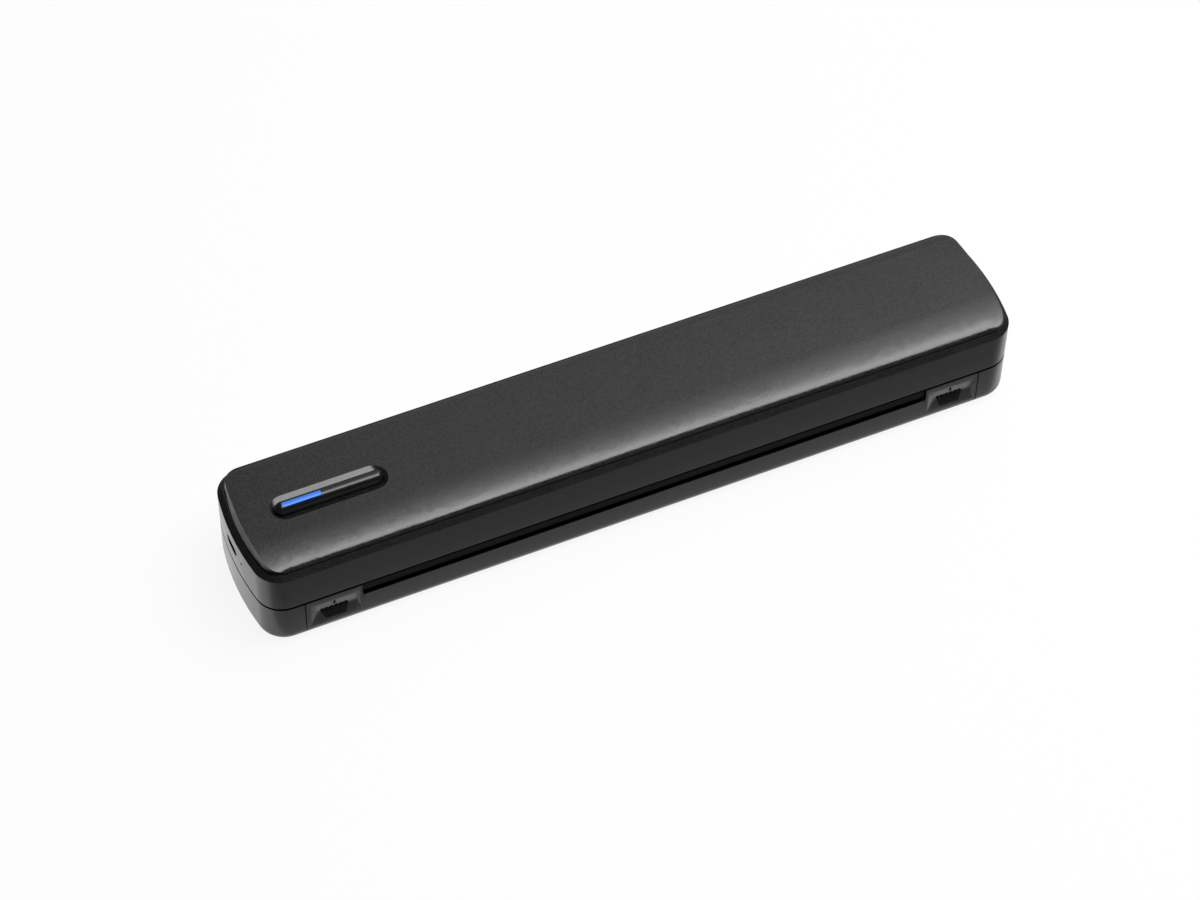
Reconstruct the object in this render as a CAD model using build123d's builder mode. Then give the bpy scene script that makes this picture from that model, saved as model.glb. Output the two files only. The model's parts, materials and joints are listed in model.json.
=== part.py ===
import os
from math import acos, atan2, cos, degrees, hypot, pi, radians, sin, sqrt, tan

from build123d import *

os.makedirs("parts", exist_ok=True)

# Portable thermal printer, millimetres. X runs along the casing with the charging socket at -X,
# the paper comes out at -Y, and Z = 0 is the table under the rubber feet.

# Lengthwise chain: paper slot, finger scoops, seams of the cover, end trays
slot_width = 216.5
slot_to_scoop = 10.1
scoop_to_seam = 10.75
tray_length = 15.9
scoop_x = slot_width / 2 + slot_to_scoop
seam_x = scoop_x + scoop_to_seam
body_length = 2 * (seam_x + tray_length)

# Casing
body_depth = 52.0
front_y = -body_depth / 2
rear_y = body_depth / 2
end_bulge = 3.4
corner_radius = 10.0
wall = 2.0
foot_height = 0.8
lower_height = 18.0
upper_height = 15.7
deck_thickness = 1.8
shoulder = 1.85
bottom_round = 4.0
parting_gap = 0.75
rim_round = 0.2
skirt_inset = 1.05
skirt_reach = 1.0
skirt_gap = 0.15

# Crowned top panel
panel_ledge = 0.3
panel_groove = 0.5
panel_height = 3.9
panel_end_slope = 1.3
panel_end_bulge = 2.0
panel_side_slope = 0.7
front_roll_depth = 14.0
front_roll_drop = 3.3
rear_roll_depth = 5.0
rear_roll_drop = 2.0
panel_skin = 2.2
panel_rim = 4.5
panel_peg_radius = 1.5
panel_peg_length = 1.2
panel_boss_radius = 3.0
panel_peg_columns = 4
panel_peg_pitch = body_length / 5
panel_peg_y = body_depth / 4

# Power button in its dished recess
button_inset = 35.85
button_x = button_inset - body_length / 2
recess_length = 42.7
recess_width = 10.6
recess_depth = 1.1
button_length = 39.4
button_width = 4.8
button_gap = 0.25
button_rise = 2.2
button_crown = 2.35
button_flange = 1.3
button_flange_thickness = 0.7
button_pocket = 1.0
button_travel = 0.5
stem_radius = 1.5
stem_offset = 5.25
stem_x = button_x + stem_offset
light_offset = 10.15
light_x = button_x - light_offset
light_length = 14.2
light_width = 1.9
light_y = -0.25
light_proud = 0.05
light_seat_gap = 0.03

# Seams of the hinged cover
seam_gap = 0.3
hinge_setback = 9.0
hinge_y = rear_y - hinge_setback
barrel_radius = 3.0
barrel_gap = 0.4
strip_reach = 2.3
hinge_pin_radius = 1.25
pin_running_gap = 0.05
pin_in_cover = 9.0
pin_in_case = 3.5
inner_wall = 1.5
cover_rib = 1.5
cover_rib_height = 5.0

# Paper slots and tear bar
slot_floor = 12.3
slot_corner = 0.8
lip_thickness = 0.35
lip_drop = 2.9
tear_setback = 0.8
tear_thickness = 1.0
tear_side_gap = 0.25
tear_rise = 9.0
tear_flange = 4.2
tear_tip_lift = 1.1
tooth_pitch = 1.236
tooth_depth = 0.85

# Finger scoops and grip pads
scoop_width = 18.4
scoop_low = 4.9
scoop_high = 15.7
scoop_depth = 2.2
scoop_floor_width = 12.6
scoop_floor_z = 8.55
scoop_floor_height = 0.9
scoop_round = 1.2
scoop_back_wall = 1.3
scoop_side_wall = 1.1
pad_wide = 9.5
pad_narrow = 7.4
pad_thickness = 0.35
pad_low_margin = 0.95
pad_high_margin = 0.3
pad_side_margin = 0.35
pad_ridges = 4
pad_ridge_height = 0.2
pad_ridge_width = 0.32

# Print roller
platen_setback = 13.0
platen_y = front_y + platen_setback
platen_radius = 4.5
nip_height = 13.2
platen_length = slot_width
platen_core_radius = 2.0
press_gap = 0.02
bearing_radius = 3.5
bearing_gap = 0.05
notch_gap = 0.12
notch_sweep = 25.0
bearing_flange_radius = 4.2
bearing_flange_thickness = 0.5
bracket_gap = 1.05
bracket_inner_x = slot_width / 2 + bracket_gap
bracket_thickness = 2.5
bracket_top_radius = 4.9
bracket_foot_width = 13.0
bracket_side_angle = 80.0

# Mechanism frame
plate_gap = 4.75
plate_x = slot_width / 2 + plate_gap
plate_thickness = 1.2
plate_setback = 7.0
plate_front_y = front_y + plate_setback
plate_rear_y = 3.0
plate_low = 5.4
plate_high = 25.6
plate_corner = 1.5
motor_wing_low = 16.0
motor_wing_high = 33.6
beam_setback = 8.0
beam_front_y = front_y + beam_setback
beam_depth = 14.5
beam_rear_y = beam_front_y + beam_depth
beam_thickness = 1.2
beam_lip = 4.0

# Gear train on the right side plate
gear_module_length = 0.5
gear_addendum = 0.85
gear_dedentum_gap = 0.35
gear_backlash = 0.09
gear_end_play = 0.1
pressure_angle = 20.0
platen_teeth = 22
idler_teeth = 24
small_teeth = 20
large_teeth = 34
pinion_teeth = 12
gear_standoff = 2.0
large_layer_width = 2.2
layer_gap = 0.3
small_layer_width = 3.0
large_layer_x = plate_x + plate_thickness + gear_standoff
small_layer_x = large_layer_x + large_layer_width + layer_gap
post_radius = 1.0
post_shoulder_radius = 1.6
axle_gap = 0.05
clip_radius = 1.9
clip_thickness = 0.4

# Motor
motor_reach_y = 23.5
motor_y = platen_y + motor_reach_y
motor_wing_reach = 8.2
motor_wing_rear_y = motor_y + motor_wing_reach
motor_z = 25.5
motor_radius = 7.5
motor_length = 17.5
motor_chamfer = 0.4
motor_flange_thickness = 1.0
motor_flange_size = 16.4
motor_boss_radius = 3.0
motor_boss_length = 1.6
motor_shaft_radius = 1.0
motor_shaft_depth = 9.0

# Print head
head_overhang = 0.25
head_length = slot_width + 2 * head_overhang
head_setback = 9.4
head_front_y = front_y + head_setback
head_rear_y = 2.5
head_lift = 0.3
ceramic_thickness = 1.0
ceramic_depth = 11.6
ceramic_rear_y = head_front_y + ceramic_depth
sink_thickness = 3.5
sink_groove_width = 1.6
sink_groove_depth = 1.4
sink_grooves = 4
sink_groove_inset = 7.0
sink_groove_y = head_front_y + sink_groove_inset
head_board_thickness = 0.8
pivot_y = 0.5
pivot_radius = 1.3
pivot_reach = 6.0
spring_thickness = 0.4
spring_finger_width = 12.0
spring_fingers = 6
spring_finger_pitch = 2 * plate_x / (spring_fingers + 1)
spring_gap = 0.1
spring_setback = 12.5
spring_finger_reach = 5.0
spring_strip_depth = 4.3
spring_tip_y = front_y + spring_setback
spring_root_y = spring_tip_y + spring_finger_reach
spring_rear_y = spring_root_y + spring_strip_depth
spring_tip_radius = 0.9

# Paper guides
guide_platen_gap = 6.0
guide_front_y = platen_y + guide_platen_gap
guide_hinge_gap = 3.5
guide_rear_y = hinge_y - guide_hinge_gap
guide_top = 12.4
guide_skin = 1.0
guide_rib_height = 0.6
guide_rib_width = 0.8
guide_ribs = 17
guide_rib_pitch = slot_width / guide_ribs
entry_depth = 6.4
entry_front_y = rear_y - entry_depth
entry_top = 12.0
entry_thickness = 1.2
entry_drop = 1.0
ceiling_z = 15.0
ceiling_skin = 0.8
ceiling_head_gap = 1.0
ceiling_front_y = head_rear_y + ceiling_head_gap
ceiling_rear_gap = 4.0
ceiling_rear_y = rear_y - ceiling_rear_gap
ceiling_flare = 5.5
ceiling_bend_y = ceiling_rear_y - ceiling_flare
ceiling_rise = 3.2
sensor_board_inset = 5.0
sensor_setback = 17.0
sensor_y = rear_y - sensor_setback
sensor_size = 4.0
sensor_height = 2.2
sensor_eye_radius = 0.65
sensor_eye_spacing = 2.0
sensor_gap = 0.1

# Battery
cell_radius = 9.1
cell_length = 65.0
cell_setback = 12.8
cell_y = rear_y - cell_setback
cell_z = 25.3
cell_cap_radius = 3.0
cell_cap_height = 0.8
cell_board_gap = 3.0
cell_spacing = 67.0
saddle_thickness = 3.0
saddle_inset = 9.0
saddle_side = 1.0
saddle_top = 22.5
cell_seat_gap = 0.02

# Electronics
usb_y = 1.2
usb_height = 26.9
usb_width = 8.94
usb_thick = 3.26
usb_depth = 7.3
usb_skin = 0.3
usb_opening_gap = 0.15
usb_recess = 1.0
tongue_width = 6.6
tongue_thick = 0.7
tongue_setback = 1.0
board_thickness = 1.2
board_end_gap = 3.5
board_left_x = board_end_gap - body_length / 2
board_plate_gap = 2.5
board_step_x = -(plate_x + board_plate_gap)
board_wing_length = 44.5
board_right_x = board_step_x + board_wing_length
sensor_x = board_right_x - sensor_board_inset
first_cell_x = board_right_x + cell_board_gap
board_front_y = -12.6
board_wing_front_y = 4.5
board_step_rear_y = 12.6
board_rear_gap = 3.5
board_rear_y = rear_y - board_rear_gap
board_peg_radius = 2.0
chip_inset = 15.5
chip_x = board_left_x + chip_inset
chip_y = 3.0
chip_size = 9.0
chip_height = 1.0
chip_chamfer = 0.1
wireless_size = 12.0
wireless_height = 2.0
wireless_round = 0.3
wireless_inset = 17.5
wireless_x = board_step_x + wireless_inset
wireless_y = 14.0
connector_inset = 21.5
connector_x = board_step_x + connector_inset
connector_width = 14.0
connector_depth = 3.6
connector_height = 2.0
cable_width = 12.0
cable_thickness = 0.2
cable_head_gap = 0.5
cable_y = head_rear_y + cable_head_gap
cable_bend = 1.0
cable_lift = 0.4
reset_y = -7.4
reset_hole_radius = 0.55
reset_radius = 0.9
reset_travel = 0.3
reset_body = 4.0
reset_body_height = 2.6
reset_reach = 1.4
reset_gap = 0.05
button_board_z = 31.0
button_board_length = 46.0
button_board_depth = 15.0
button_board_thickness = 1.0
button_peg_spacing_x = 34.0
button_peg_spacing_y = 11.6
button_peg_radius = 1.2
switch_size = 6.0
switch_height = 1.9
switch_plunger_height = 2.5
switch_plunger_sink = 1.2
led_size = 1.6
led_depth = 0.8
led_height = 0.7
led_pitch = 4.7
leds = 3
cover_sensor_offset = 8.5
cover_sensor_y = platen_y + cover_sensor_offset
cover_sensor_size = 5.0
cover_sensor_thickness = 3.0
cover_sensor_slot_width = 1.7
cover_sensor_slot_height = 2.5
cover_sensor_z = 12.5

# Fasteners and feet
case_screw_end_inset = 9.5
case_screw_side_inset = 7.7
case_screw_x = body_length / 2 - case_screw_end_inset
case_screw_y = body_depth / 2 - case_screw_side_inset
case_post_radius = 2.9
screw_radius = 1.1
screw_head_radius = 2.0
screw_head_height = 1.4
screw_clearance = 0.15
screw_grip = 0.02
screw_recess = 6.0
case_screw_length = 17.0
chassis_screws_across = 4
chassis_screw_inset = 13.0
chassis_screw_pitch = 2 * (plate_x - chassis_screw_inset) / (chassis_screws_across - 1)
chassis_screw_setback = 15.0
chassis_screw_y = front_y + chassis_screw_setback
chassis_screw_length = 6.0
chassis_post_radius = 2.2
foot_inset = 8.6
foot_x = body_length / 2 - foot_inset
foot_y = 7.6
foot_length = 11.0
foot_width = 6.6
foot_pocket = 0.7
foot_chamfer = 0.35

# Heights and places that follow from the sizes above
base_z = foot_height
parting_z = base_z + lower_height
upper_z = parting_z + parting_gap
shoulder_z = parting_z + upper_height
deck_z = shoulder_z + deck_thickness
deck_under_z = deck_z - deck_thickness
crest_z = deck_z + panel_height
cover_half = seam_x - seam_gap / 2
tray_x = seam_x + seam_gap / 2
hinge_z = base_z + barrel_radius
slot_z = base_z + slot_floor
platen_z = base_z + nip_height - platen_radius
platen_swing = hypot(hinge_y - platen_y, platen_z - hinge_z)
platen_bearing_angle = degrees(atan2(platen_z - hinge_z, platen_y - hinge_y))
head_under_z = platen_z + platen_radius + head_lift
sink_z = head_under_z + ceramic_thickness
sink_top_z = sink_z + sink_thickness
pivot_z = sink_z + sink_thickness / 2
beam_z = plate_high - beam_thickness
plate_outer_x = plate_x + plate_thickness
guide_top_z = base_z + guide_top
floor_z = base_z + wall
usb_z = base_z + usb_height
board_z = usb_z - usb_thick / 2 - board_thickness
board_top_z = board_z + board_thickness


def section(x):
    # upright plane across the casing, drawn as (Y, Z), facing +X
    return Plane.YZ.offset(x)


def casing_outline(inset_x, inset_y=None, radius=None, bulge=end_bulge):
    # bar with bowed ends and rounded corners, drawn inside the casing's own outline
    inset_y = inset_x if inset_y is None else inset_y
    radius = corner_radius - inset_x if radius is None else radius
    half_length = body_length / 2 - inset_x
    half_depth = body_depth / 2 - inset_y
    corner_x = half_length - bulge
    with BuildSketch() as outline:
        with BuildLine():
            Line((-corner_x, -half_depth), (corner_x, -half_depth))
            ThreePointArc((corner_x, -half_depth), (half_length, 0), (corner_x, half_depth))
            Line((corner_x, half_depth), (-corner_x, half_depth))
            ThreePointArc((-corner_x, half_depth), (-half_length, 0), (-corner_x, -half_depth))
        make_face()
        fillet(outline.vertices(), radius)
    return outline.sketch


def save(part, name):
    part.label = name
    export_step(part, f"parts/{name}.step")


panel_inset = shoulder + panel_ledge
panel_pegs = [(column * panel_peg_pitch, row * panel_peg_y)
              for column in range(-1, panel_peg_columns - 1) for row in (-1, 1)]

# Upper casing: walls, chamfered shoulder, deck and the posts that hang from it
with BuildPart() as upper_case:
    with BuildSketch(Plane.XY.offset(upper_z)):
        add(casing_outline(0))
    extrude(amount=deck_z - upper_z)
    chamfer(upper_case.edges().group_by(Axis.Z)[-1], length=deck_thickness, length2=shoulder)
    fillet(upper_case.edges().group_by(Axis.Z)[0], rim_round)
    with BuildSketch(Plane.XY.offset(upper_z)):
        add(casing_outline(wall))
    extrude(amount=deck_under_z - upper_z, mode=Mode.SUBTRACT)
    # skirt that closes the parting gap from inside, left out where the paper leaves
    with BuildSketch(Plane.XY.offset(parting_z - skirt_reach)):
        add(casing_outline(skirt_inset))
        add(casing_outline(wall), mode=Mode.SUBTRACT)
        with Locations((0, front_y + wall / 2)):
            Rectangle(slot_width, wall, mode=Mode.SUBTRACT)
    extrude(amount=upper_z - parting_z + skirt_reach)
    # shadow groove between the shoulder and the foot of the top panel
    with BuildSketch(Plane.XY.offset(deck_z)):
        add(casing_outline(shoulder))
        add(casing_outline(panel_inset), mode=Mode.SUBTRACT)
    extrude(amount=-panel_groove, mode=Mode.SUBTRACT)
    # posts for the casing screws, the mechanism, the main board and the button board
    with BuildSketch(Plane.XY.offset(upper_z)):
        with GridLocations(2 * case_screw_x, 2 * case_screw_y, 2, 2):
            Circle(case_post_radius)
    extrude(amount=deck_under_z - upper_z)
    with BuildSketch(Plane.XY.offset(plate_high)):
        with Locations((0, chassis_screw_y)), GridLocations(chassis_screw_pitch, 0, chassis_screws_across, 1):
            Circle(chassis_post_radius)
    extrude(amount=deck_under_z - plate_high)
    board_pegs = [
        (board_step_x - 2 * board_peg_radius, board_front_y + board_peg_radius),
        (board_step_x - 2 * board_peg_radius, board_step_rear_y - board_peg_radius),
        (board_right_x - 2 * board_peg_radius, board_rear_y - board_peg_radius),
    ]
    with BuildSketch(Plane.XY.offset(board_top_z)):
        with Locations(*board_pegs):
            Circle(board_peg_radius)
    extrude(amount=deck_under_z - board_top_z)
    with BuildSketch(Plane.XY.offset(button_board_z + button_board_thickness)):
        with Locations((button_x, 0)):
            with GridLocations(button_peg_spacing_x, button_peg_spacing_y, 2, 2):
                Circle(button_peg_radius)
    extrude(amount=deck_under_z - button_board_z - button_board_thickness)
    # screw pilots
    with BuildSketch(Plane.XY.offset(upper_z)):
        with GridLocations(2 * case_screw_x, 2 * case_screw_y, 2, 2):
            Circle(screw_radius + screw_grip)
    extrude(amount=deck_under_z - upper_z - wall, mode=Mode.SUBTRACT)
    with BuildSketch(Plane.XY.offset(plate_high)):
        with Locations((0, chassis_screw_y)), GridLocations(chassis_screw_pitch, 0, chassis_screws_across, 1):
            Circle(screw_radius + screw_grip)
    extrude(amount=deck_under_z - plate_high - wall, mode=Mode.SUBTRACT)
    # slot in the deck for the button's flange, and holes for the top panel's pegs
    flange_length = button_length + 2 * button_flange
    flange_width = button_width + 2 * button_flange
    with BuildSketch(Plane.XY.offset(deck_under_z)):
        with Locations((button_x, 0)):
            SlotOverall(flange_length + 2 * button_gap, flange_width + 2 * button_gap)
    extrude(amount=deck_thickness, mode=Mode.SUBTRACT)
    with BuildSketch(Plane.XY.offset(deck_z)):
        with Locations(*panel_pegs):
            Circle(panel_peg_radius + screw_grip)
    extrude(amount=-panel_peg_length, mode=Mode.SUBTRACT)
    # socket cut-out and reset pinhole in the left end
    with BuildSketch(section(-body_length / 2 - end_bulge)):
        with Locations((usb_y, usb_z)):
            SlotOverall(usb_width + 2 * usb_opening_gap, usb_thick + 2 * usb_opening_gap)
        with Locations((reset_y, usb_z)):
            Circle(reset_hole_radius)
    extrude(amount=end_bulge + 3 * wall, mode=Mode.SUBTRACT)
    # rebate behind the front wall that the tear bar sits in
    bar_width = slot_width - 2 * tear_side_gap
    bar_front_y = front_y + tear_setback
    bar_rear_y = bar_front_y + tear_thickness
    bar_top_z = slot_z + tear_rise
    with BuildSketch(Plane.XY.offset(upper_z)):
        with Locations((0, bar_front_y + wall / 2)):
            Rectangle(bar_width + 2 * tear_side_gap, wall)
    extrude(amount=bar_top_z + tear_side_gap - upper_z, mode=Mode.SUBTRACT)
save(upper_case.part, "upper_case")

# Top panel: rolled down along its front and rear, steep at its ends, with the button's dish
panel_half_depth = body_depth / 2 - panel_inset
button_flange_z = deck_z + button_pocket - button_flange_thickness - button_gap / 2
with BuildPart() as top_panel:
    with BuildSketch(Plane.XY.offset(deck_z)):
        add(casing_outline(panel_inset))
    with BuildSketch(Plane.XY.offset(crest_z)):
        add(casing_outline(panel_inset + panel_end_slope, panel_inset + panel_side_slope,
                           corner_radius - panel_inset - panel_side_slope, panel_end_bulge))
    loft(ruled=True)
    with BuildSketch(section(-body_length / 2)):
        with BuildLine():
            front_roll = EllipticalCenterArc((front_roll_depth - panel_half_depth, crest_z - front_roll_drop),
                                             front_roll_depth, front_roll_drop, start_angle=90, arc_size=90)
            rear_roll = EllipticalCenterArc((panel_half_depth - rear_roll_depth, crest_z - rear_roll_drop),
                                            rear_roll_depth, rear_roll_drop, start_angle=0, arc_size=90)
            Line(front_roll @ 0, rear_roll @ 1)
            Polyline(front_roll @ 1, (-panel_half_depth, deck_z), (panel_half_depth, deck_z), rear_roll @ 0)
        make_face()
    extrude(amount=body_length, mode=Mode.INTERSECT)
    # dished recess, opening for the button and the pocket for its flange
    with BuildSketch(Plane.XY.offset(crest_z)):
        with Locations((button_x, 0)):
            SlotOverall(recess_length, recess_width)
    with BuildSketch(Plane.XY.offset(crest_z - recess_depth)):
        with Locations((button_x, 0)):
            SlotOverall(button_length + 2 * button_gap, button_width + 2 * button_gap)
    loft(ruled=True, mode=Mode.SUBTRACT)
    with BuildSketch(Plane.XY.offset(deck_z)):
        with Locations((button_x, 0)):
            SlotOverall(button_length + 2 * button_gap, button_width + 2 * button_gap)
    extrude(amount=panel_height, mode=Mode.SUBTRACT)
    with BuildSketch(Plane.XY.offset(deck_z)):
        with Locations((button_x, 0)):
            SlotOverall(flange_length + 2 * button_gap, flange_width + 2 * button_gap)
    extrude(amount=button_pocket, mode=Mode.SUBTRACT)
    # hollow underside, right of the button, and pegs into the deck
    hollow_left = button_x + recess_length / 2 + panel_rim
    hollow_right = body_length / 2 - end_bulge - panel_inset - panel_rim
    with BuildSketch(Plane.XY.offset(deck_z)):
        with Locations(((hollow_left + hollow_right) / 2, 0)):
            RectangleRounded(hollow_right - hollow_left, 2 * (panel_half_depth - panel_rim), panel_rim)
        with Locations(*panel_pegs):
            Circle(panel_boss_radius, mode=Mode.SUBTRACT)
    extrude(amount=panel_height - panel_skin, mode=Mode.SUBTRACT)
    with BuildSketch(Plane.XY.offset(deck_z)):
        with Locations(*panel_pegs):
            Circle(panel_peg_radius)
    extrude(amount=-panel_peg_length)
save(top_panel.part, "top_panel")

# Power button: a bead that stands up through the dish, with a retaining flange and a stem
# onto its switch
button_top_z = crest_z + button_rise
button_axis_z = button_top_z - button_width / 2
switch_top_z = button_board_z + button_board_thickness + switch_plunger_height
strip_floor_z = button_board_z + button_board_thickness + led_height + button_travel + button_gap
with BuildPart() as power_button:
    with BuildSketch(Plane.XY.offset(button_flange_z)):
        with Locations((button_x, 0)):
            SlotOverall(button_length, button_width)
    extrude(amount=button_top_z - button_flange_z)
    fillet(power_button.edges().group_by(Axis.Z)[-1], button_crown)
    with BuildSketch(Plane.XY.offset(button_flange_z)):
        with Locations((button_x, 0)):
            SlotOverall(flange_length, flange_width)
    extrude(amount=button_flange_thickness)
    with BuildSketch(Plane.XY.offset(switch_top_z)):
        with Locations((stem_x, 0)):
            Circle(stem_radius)
    extrude(amount=button_flange_z - switch_top_z)
    with BuildSketch(Plane.XY.offset(strip_floor_z)):
        with Locations((light_x, light_y)):
            SlotOverall(light_length + 2 * light_seat_gap, light_width + 2 * light_seat_gap)
    extrude(amount=button_top_z - strip_floor_z, mode=Mode.SUBTRACT)
save(power_button.part, "power_button")

# Light strip: a clear bar through the button, lit from below, its top following the bead
with BuildPart() as button_light_strip:
    with BuildSketch(Plane.XY.offset(strip_floor_z)):
        with Locations((light_x, light_y)):
            SlotOverall(light_length, light_width)
    extrude(amount=button_top_z + light_proud - strip_floor_z)
    with BuildSketch(section(light_x - light_length / 2)):
        with Locations((0, button_axis_z)):
            Circle(button_width / 2 + light_proud)
        with Locations((0, (strip_floor_z + button_axis_z) / 2)):
            Rectangle(button_width, button_axis_z - strip_floor_z)
    extrude(amount=light_length, mode=Mode.INTERSECT)
save(button_light_strip.part, "button_light_strip")

# Lower casing: two end trays joined by the rear strip, with the rear paper entry
with BuildPart() as lower_case:
    with BuildSketch(Plane.XY.offset(base_z)):
        add(casing_outline(0))
    extrude(amount=lower_height)
    fillet(lower_case.edges().group_by(Axis.Z)[0], bottom_round)
    fillet(lower_case.edges().group_by(Axis.Z)[-1], rim_round)
    with BuildSketch(Plane.XY.offset(floor_z)):
        add(casing_outline(wall))
        with GridLocations(2 * tray_x + inner_wall, 0, 2, 1):
            Rectangle(inner_wall, body_depth, mode=Mode.SUBTRACT)
    extrude(amount=lower_height, mode=Mode.SUBTRACT)
    # rebate for the upper casing's skirt
    skirt_seat_z = parting_z - skirt_reach - skirt_gap
    with BuildSketch(Plane.XY.offset(skirt_seat_z)):
        add(casing_outline(skirt_inset - skirt_gap))
        add(casing_outline(wall + skirt_gap), mode=Mode.SUBTRACT)
    extrude(amount=parting_z - skirt_seat_z, mode=Mode.SUBTRACT)
    # bay for the hinged cover and the cove round its barrel
    strip_y = hinge_y + strip_reach
    with BuildSketch(Plane.XY):
        with Locations((0, (front_y + strip_y) / 2 - wall)):
            Rectangle(2 * tray_x, strip_y - front_y + 2 * wall)
    extrude(amount=parting_z, mode=Mode.SUBTRACT)
    with BuildSketch(section(-tray_x)):
        with Locations((hinge_y, hinge_z)):
            Circle(barrel_radius + barrel_gap)
    extrude(amount=2 * tray_x, mode=Mode.SUBTRACT)
    # rear paper entry
    with BuildSketch(Plane.XZ.offset(-rear_y - wall)) as entry:
        with Locations((0, (slot_z + parting_z + wall) / 2)):
            Rectangle(slot_width, parting_z + wall - slot_z)
        fillet(entry.vertices().group_by(Axis.Y)[0], slot_corner)
    extrude(amount=3 * wall, mode=Mode.SUBTRACT)
    # screw posts with deep heads, hinge pin seats and foot pockets
    with BuildSketch(Plane.XY.offset(floor_z)):
        with GridLocations(2 * case_screw_x, 2 * case_screw_y, 2, 2):
            Circle(case_post_radius)
    extrude(amount=upper_z - floor_z)
    with Locations(Plane.XY.offset(base_z) * Rotation(180, 0, 0)):
        with GridLocations(2 * case_screw_x, 2 * case_screw_y, 2, 2):
            CounterBoreHole(screw_radius + screw_clearance, screw_head_radius + screw_clearance,
                            screw_recess + screw_head_height)
    for side in (-1, 1):
        with BuildSketch(section(side * tray_x)):
            with Locations((hinge_y, hinge_z)):
                Circle(barrel_radius)
        extrude(amount=side * pin_in_case)
        with BuildSketch(section(side * tray_x)):
            with Locations((hinge_y, hinge_z)):
                Circle(hinge_pin_radius + press_gap)
        extrude(amount=side * pin_in_case, mode=Mode.SUBTRACT)
    with BuildSketch(Plane.XY.offset(base_z)):
        with GridLocations(2 * foot_x, 2 * foot_y, 2, 2):
            SlotOverall(foot_length, foot_width, rotation=90)
    extrude(amount=foot_pocket, mode=Mode.SUBTRACT)
save(lower_case.part, "lower_case")

# Hollow of a finger scoop: tapered towards a narrow floor, with all its inner edges rounded
scoop_floor_y = front_y + scoop_depth
scoop_height = scoop_high - scoop_low
scoop_mid_z = base_z + (scoop_high + scoop_low) / 2
with BuildPart() as scoop:
    with BuildSketch(Plane.XZ.offset(-front_y)):
        with Locations((0, scoop_mid_z)):
            Rectangle(scoop_width, scoop_height)
    with BuildSketch(Plane.XZ.offset(-scoop_floor_y)):
        with Locations((0, base_z + scoop_floor_z)):
            Rectangle(scoop_floor_width, scoop_floor_height)
    loft(ruled=True)
    scoop_mouth = scoop.edges().group_by(Axis.Y)[0]
    fillet([edge for edge in scoop.edges() if edge not in scoop_mouth], scoop_round)

# Front cover: front wall, bottom plate and hinge barrel in one profile
with BuildPart() as front_cover:
    with BuildSketch(section(-cover_half)) as profile:
        with Locations(((front_y + hinge_y) / 2, (base_z + parting_z) / 2)):
            Rectangle(hinge_y - front_y, lower_height)
        fillet(profile.vertices().group_by(Axis.X)[0].sort_by(Axis.Y)[0], bottom_round)
        fillet(profile.vertices().group_by(Axis.X)[0].sort_by(Axis.Y)[-1], rim_round)
        with Locations(((front_y + wall + hinge_y) / 2, floor_z + lower_height / 2)):
            Rectangle(hinge_y - front_y - wall, lower_height, mode=Mode.SUBTRACT)
        with Locations((front_y + skirt_inset - skirt_gap + wall / 2, skirt_seat_z + wall / 2)):
            Rectangle(wall, wall, mode=Mode.SUBTRACT)
        with Locations((hinge_y, hinge_z)):
            Circle(barrel_radius)
    extrude(amount=2 * cover_half)
    # stiffening ribs at the ends
    with BuildSketch(section(-cover_half)):
        with Locations(((front_y + wall + hinge_y) / 2, floor_z + cover_rib_height / 2)):
            Rectangle(hinge_y - front_y - wall, cover_rib_height)
    extrude(amount=cover_rib)
    with BuildSketch(section(cover_half - cover_rib)):
        with Locations(((front_y + wall + hinge_y) / 2, floor_z + cover_rib_height / 2)):
            Rectangle(hinge_y - front_y - wall, cover_rib_height)
    extrude(amount=cover_rib)
    # paper slot, its lower lip thinned from inside so that the paper leaves over an edge
    with BuildSketch(Plane.XZ.offset(-front_y + wall)) as notch:
        with Locations((0, (slot_z + parting_z + wall) / 2)):
            Rectangle(slot_width, parting_z + wall - slot_z)
        fillet(notch.vertices().group_by(Axis.Y)[0], slot_corner)
    extrude(amount=-3 * wall, mode=Mode.SUBTRACT)
    with BuildSketch(section(slot_corner - slot_width / 2)):
        with BuildLine():
            Polyline((front_y + lip_thickness, slot_z), (front_y + wall, slot_z),
                     (front_y + wall, slot_z - lip_drop), (front_y + lip_thickness, slot_z))
        make_face()
    extrude(amount=slot_width - 2 * slot_corner, mode=Mode.SUBTRACT)
    # finger scoops with a thick back
    with BuildSketch(Plane.XZ.offset(-front_y - wall)):
        with Locations((-scoop_x, scoop_mid_z), (scoop_x, scoop_mid_z)):
            Rectangle(scoop_width + 2 * scoop_side_wall, scoop_height + 2 * scoop_side_wall)
    extrude(amount=-(scoop_depth - wall + scoop_back_wall))
    for side in (-1, 1):
        with Locations((side * scoop_x, 0, 0)):
            add(scoop.part, mode=Mode.SUBTRACT)
        # bores for the hinge pins
        with BuildSketch(section(side * (cover_half - pin_in_cover))):
            with Locations((hinge_y, hinge_z)):
                Circle(hinge_pin_radius + pin_running_gap)
        extrude(amount=side * pin_in_cover, mode=Mode.SUBTRACT)
save(front_cover.part, "front_cover")

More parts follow.
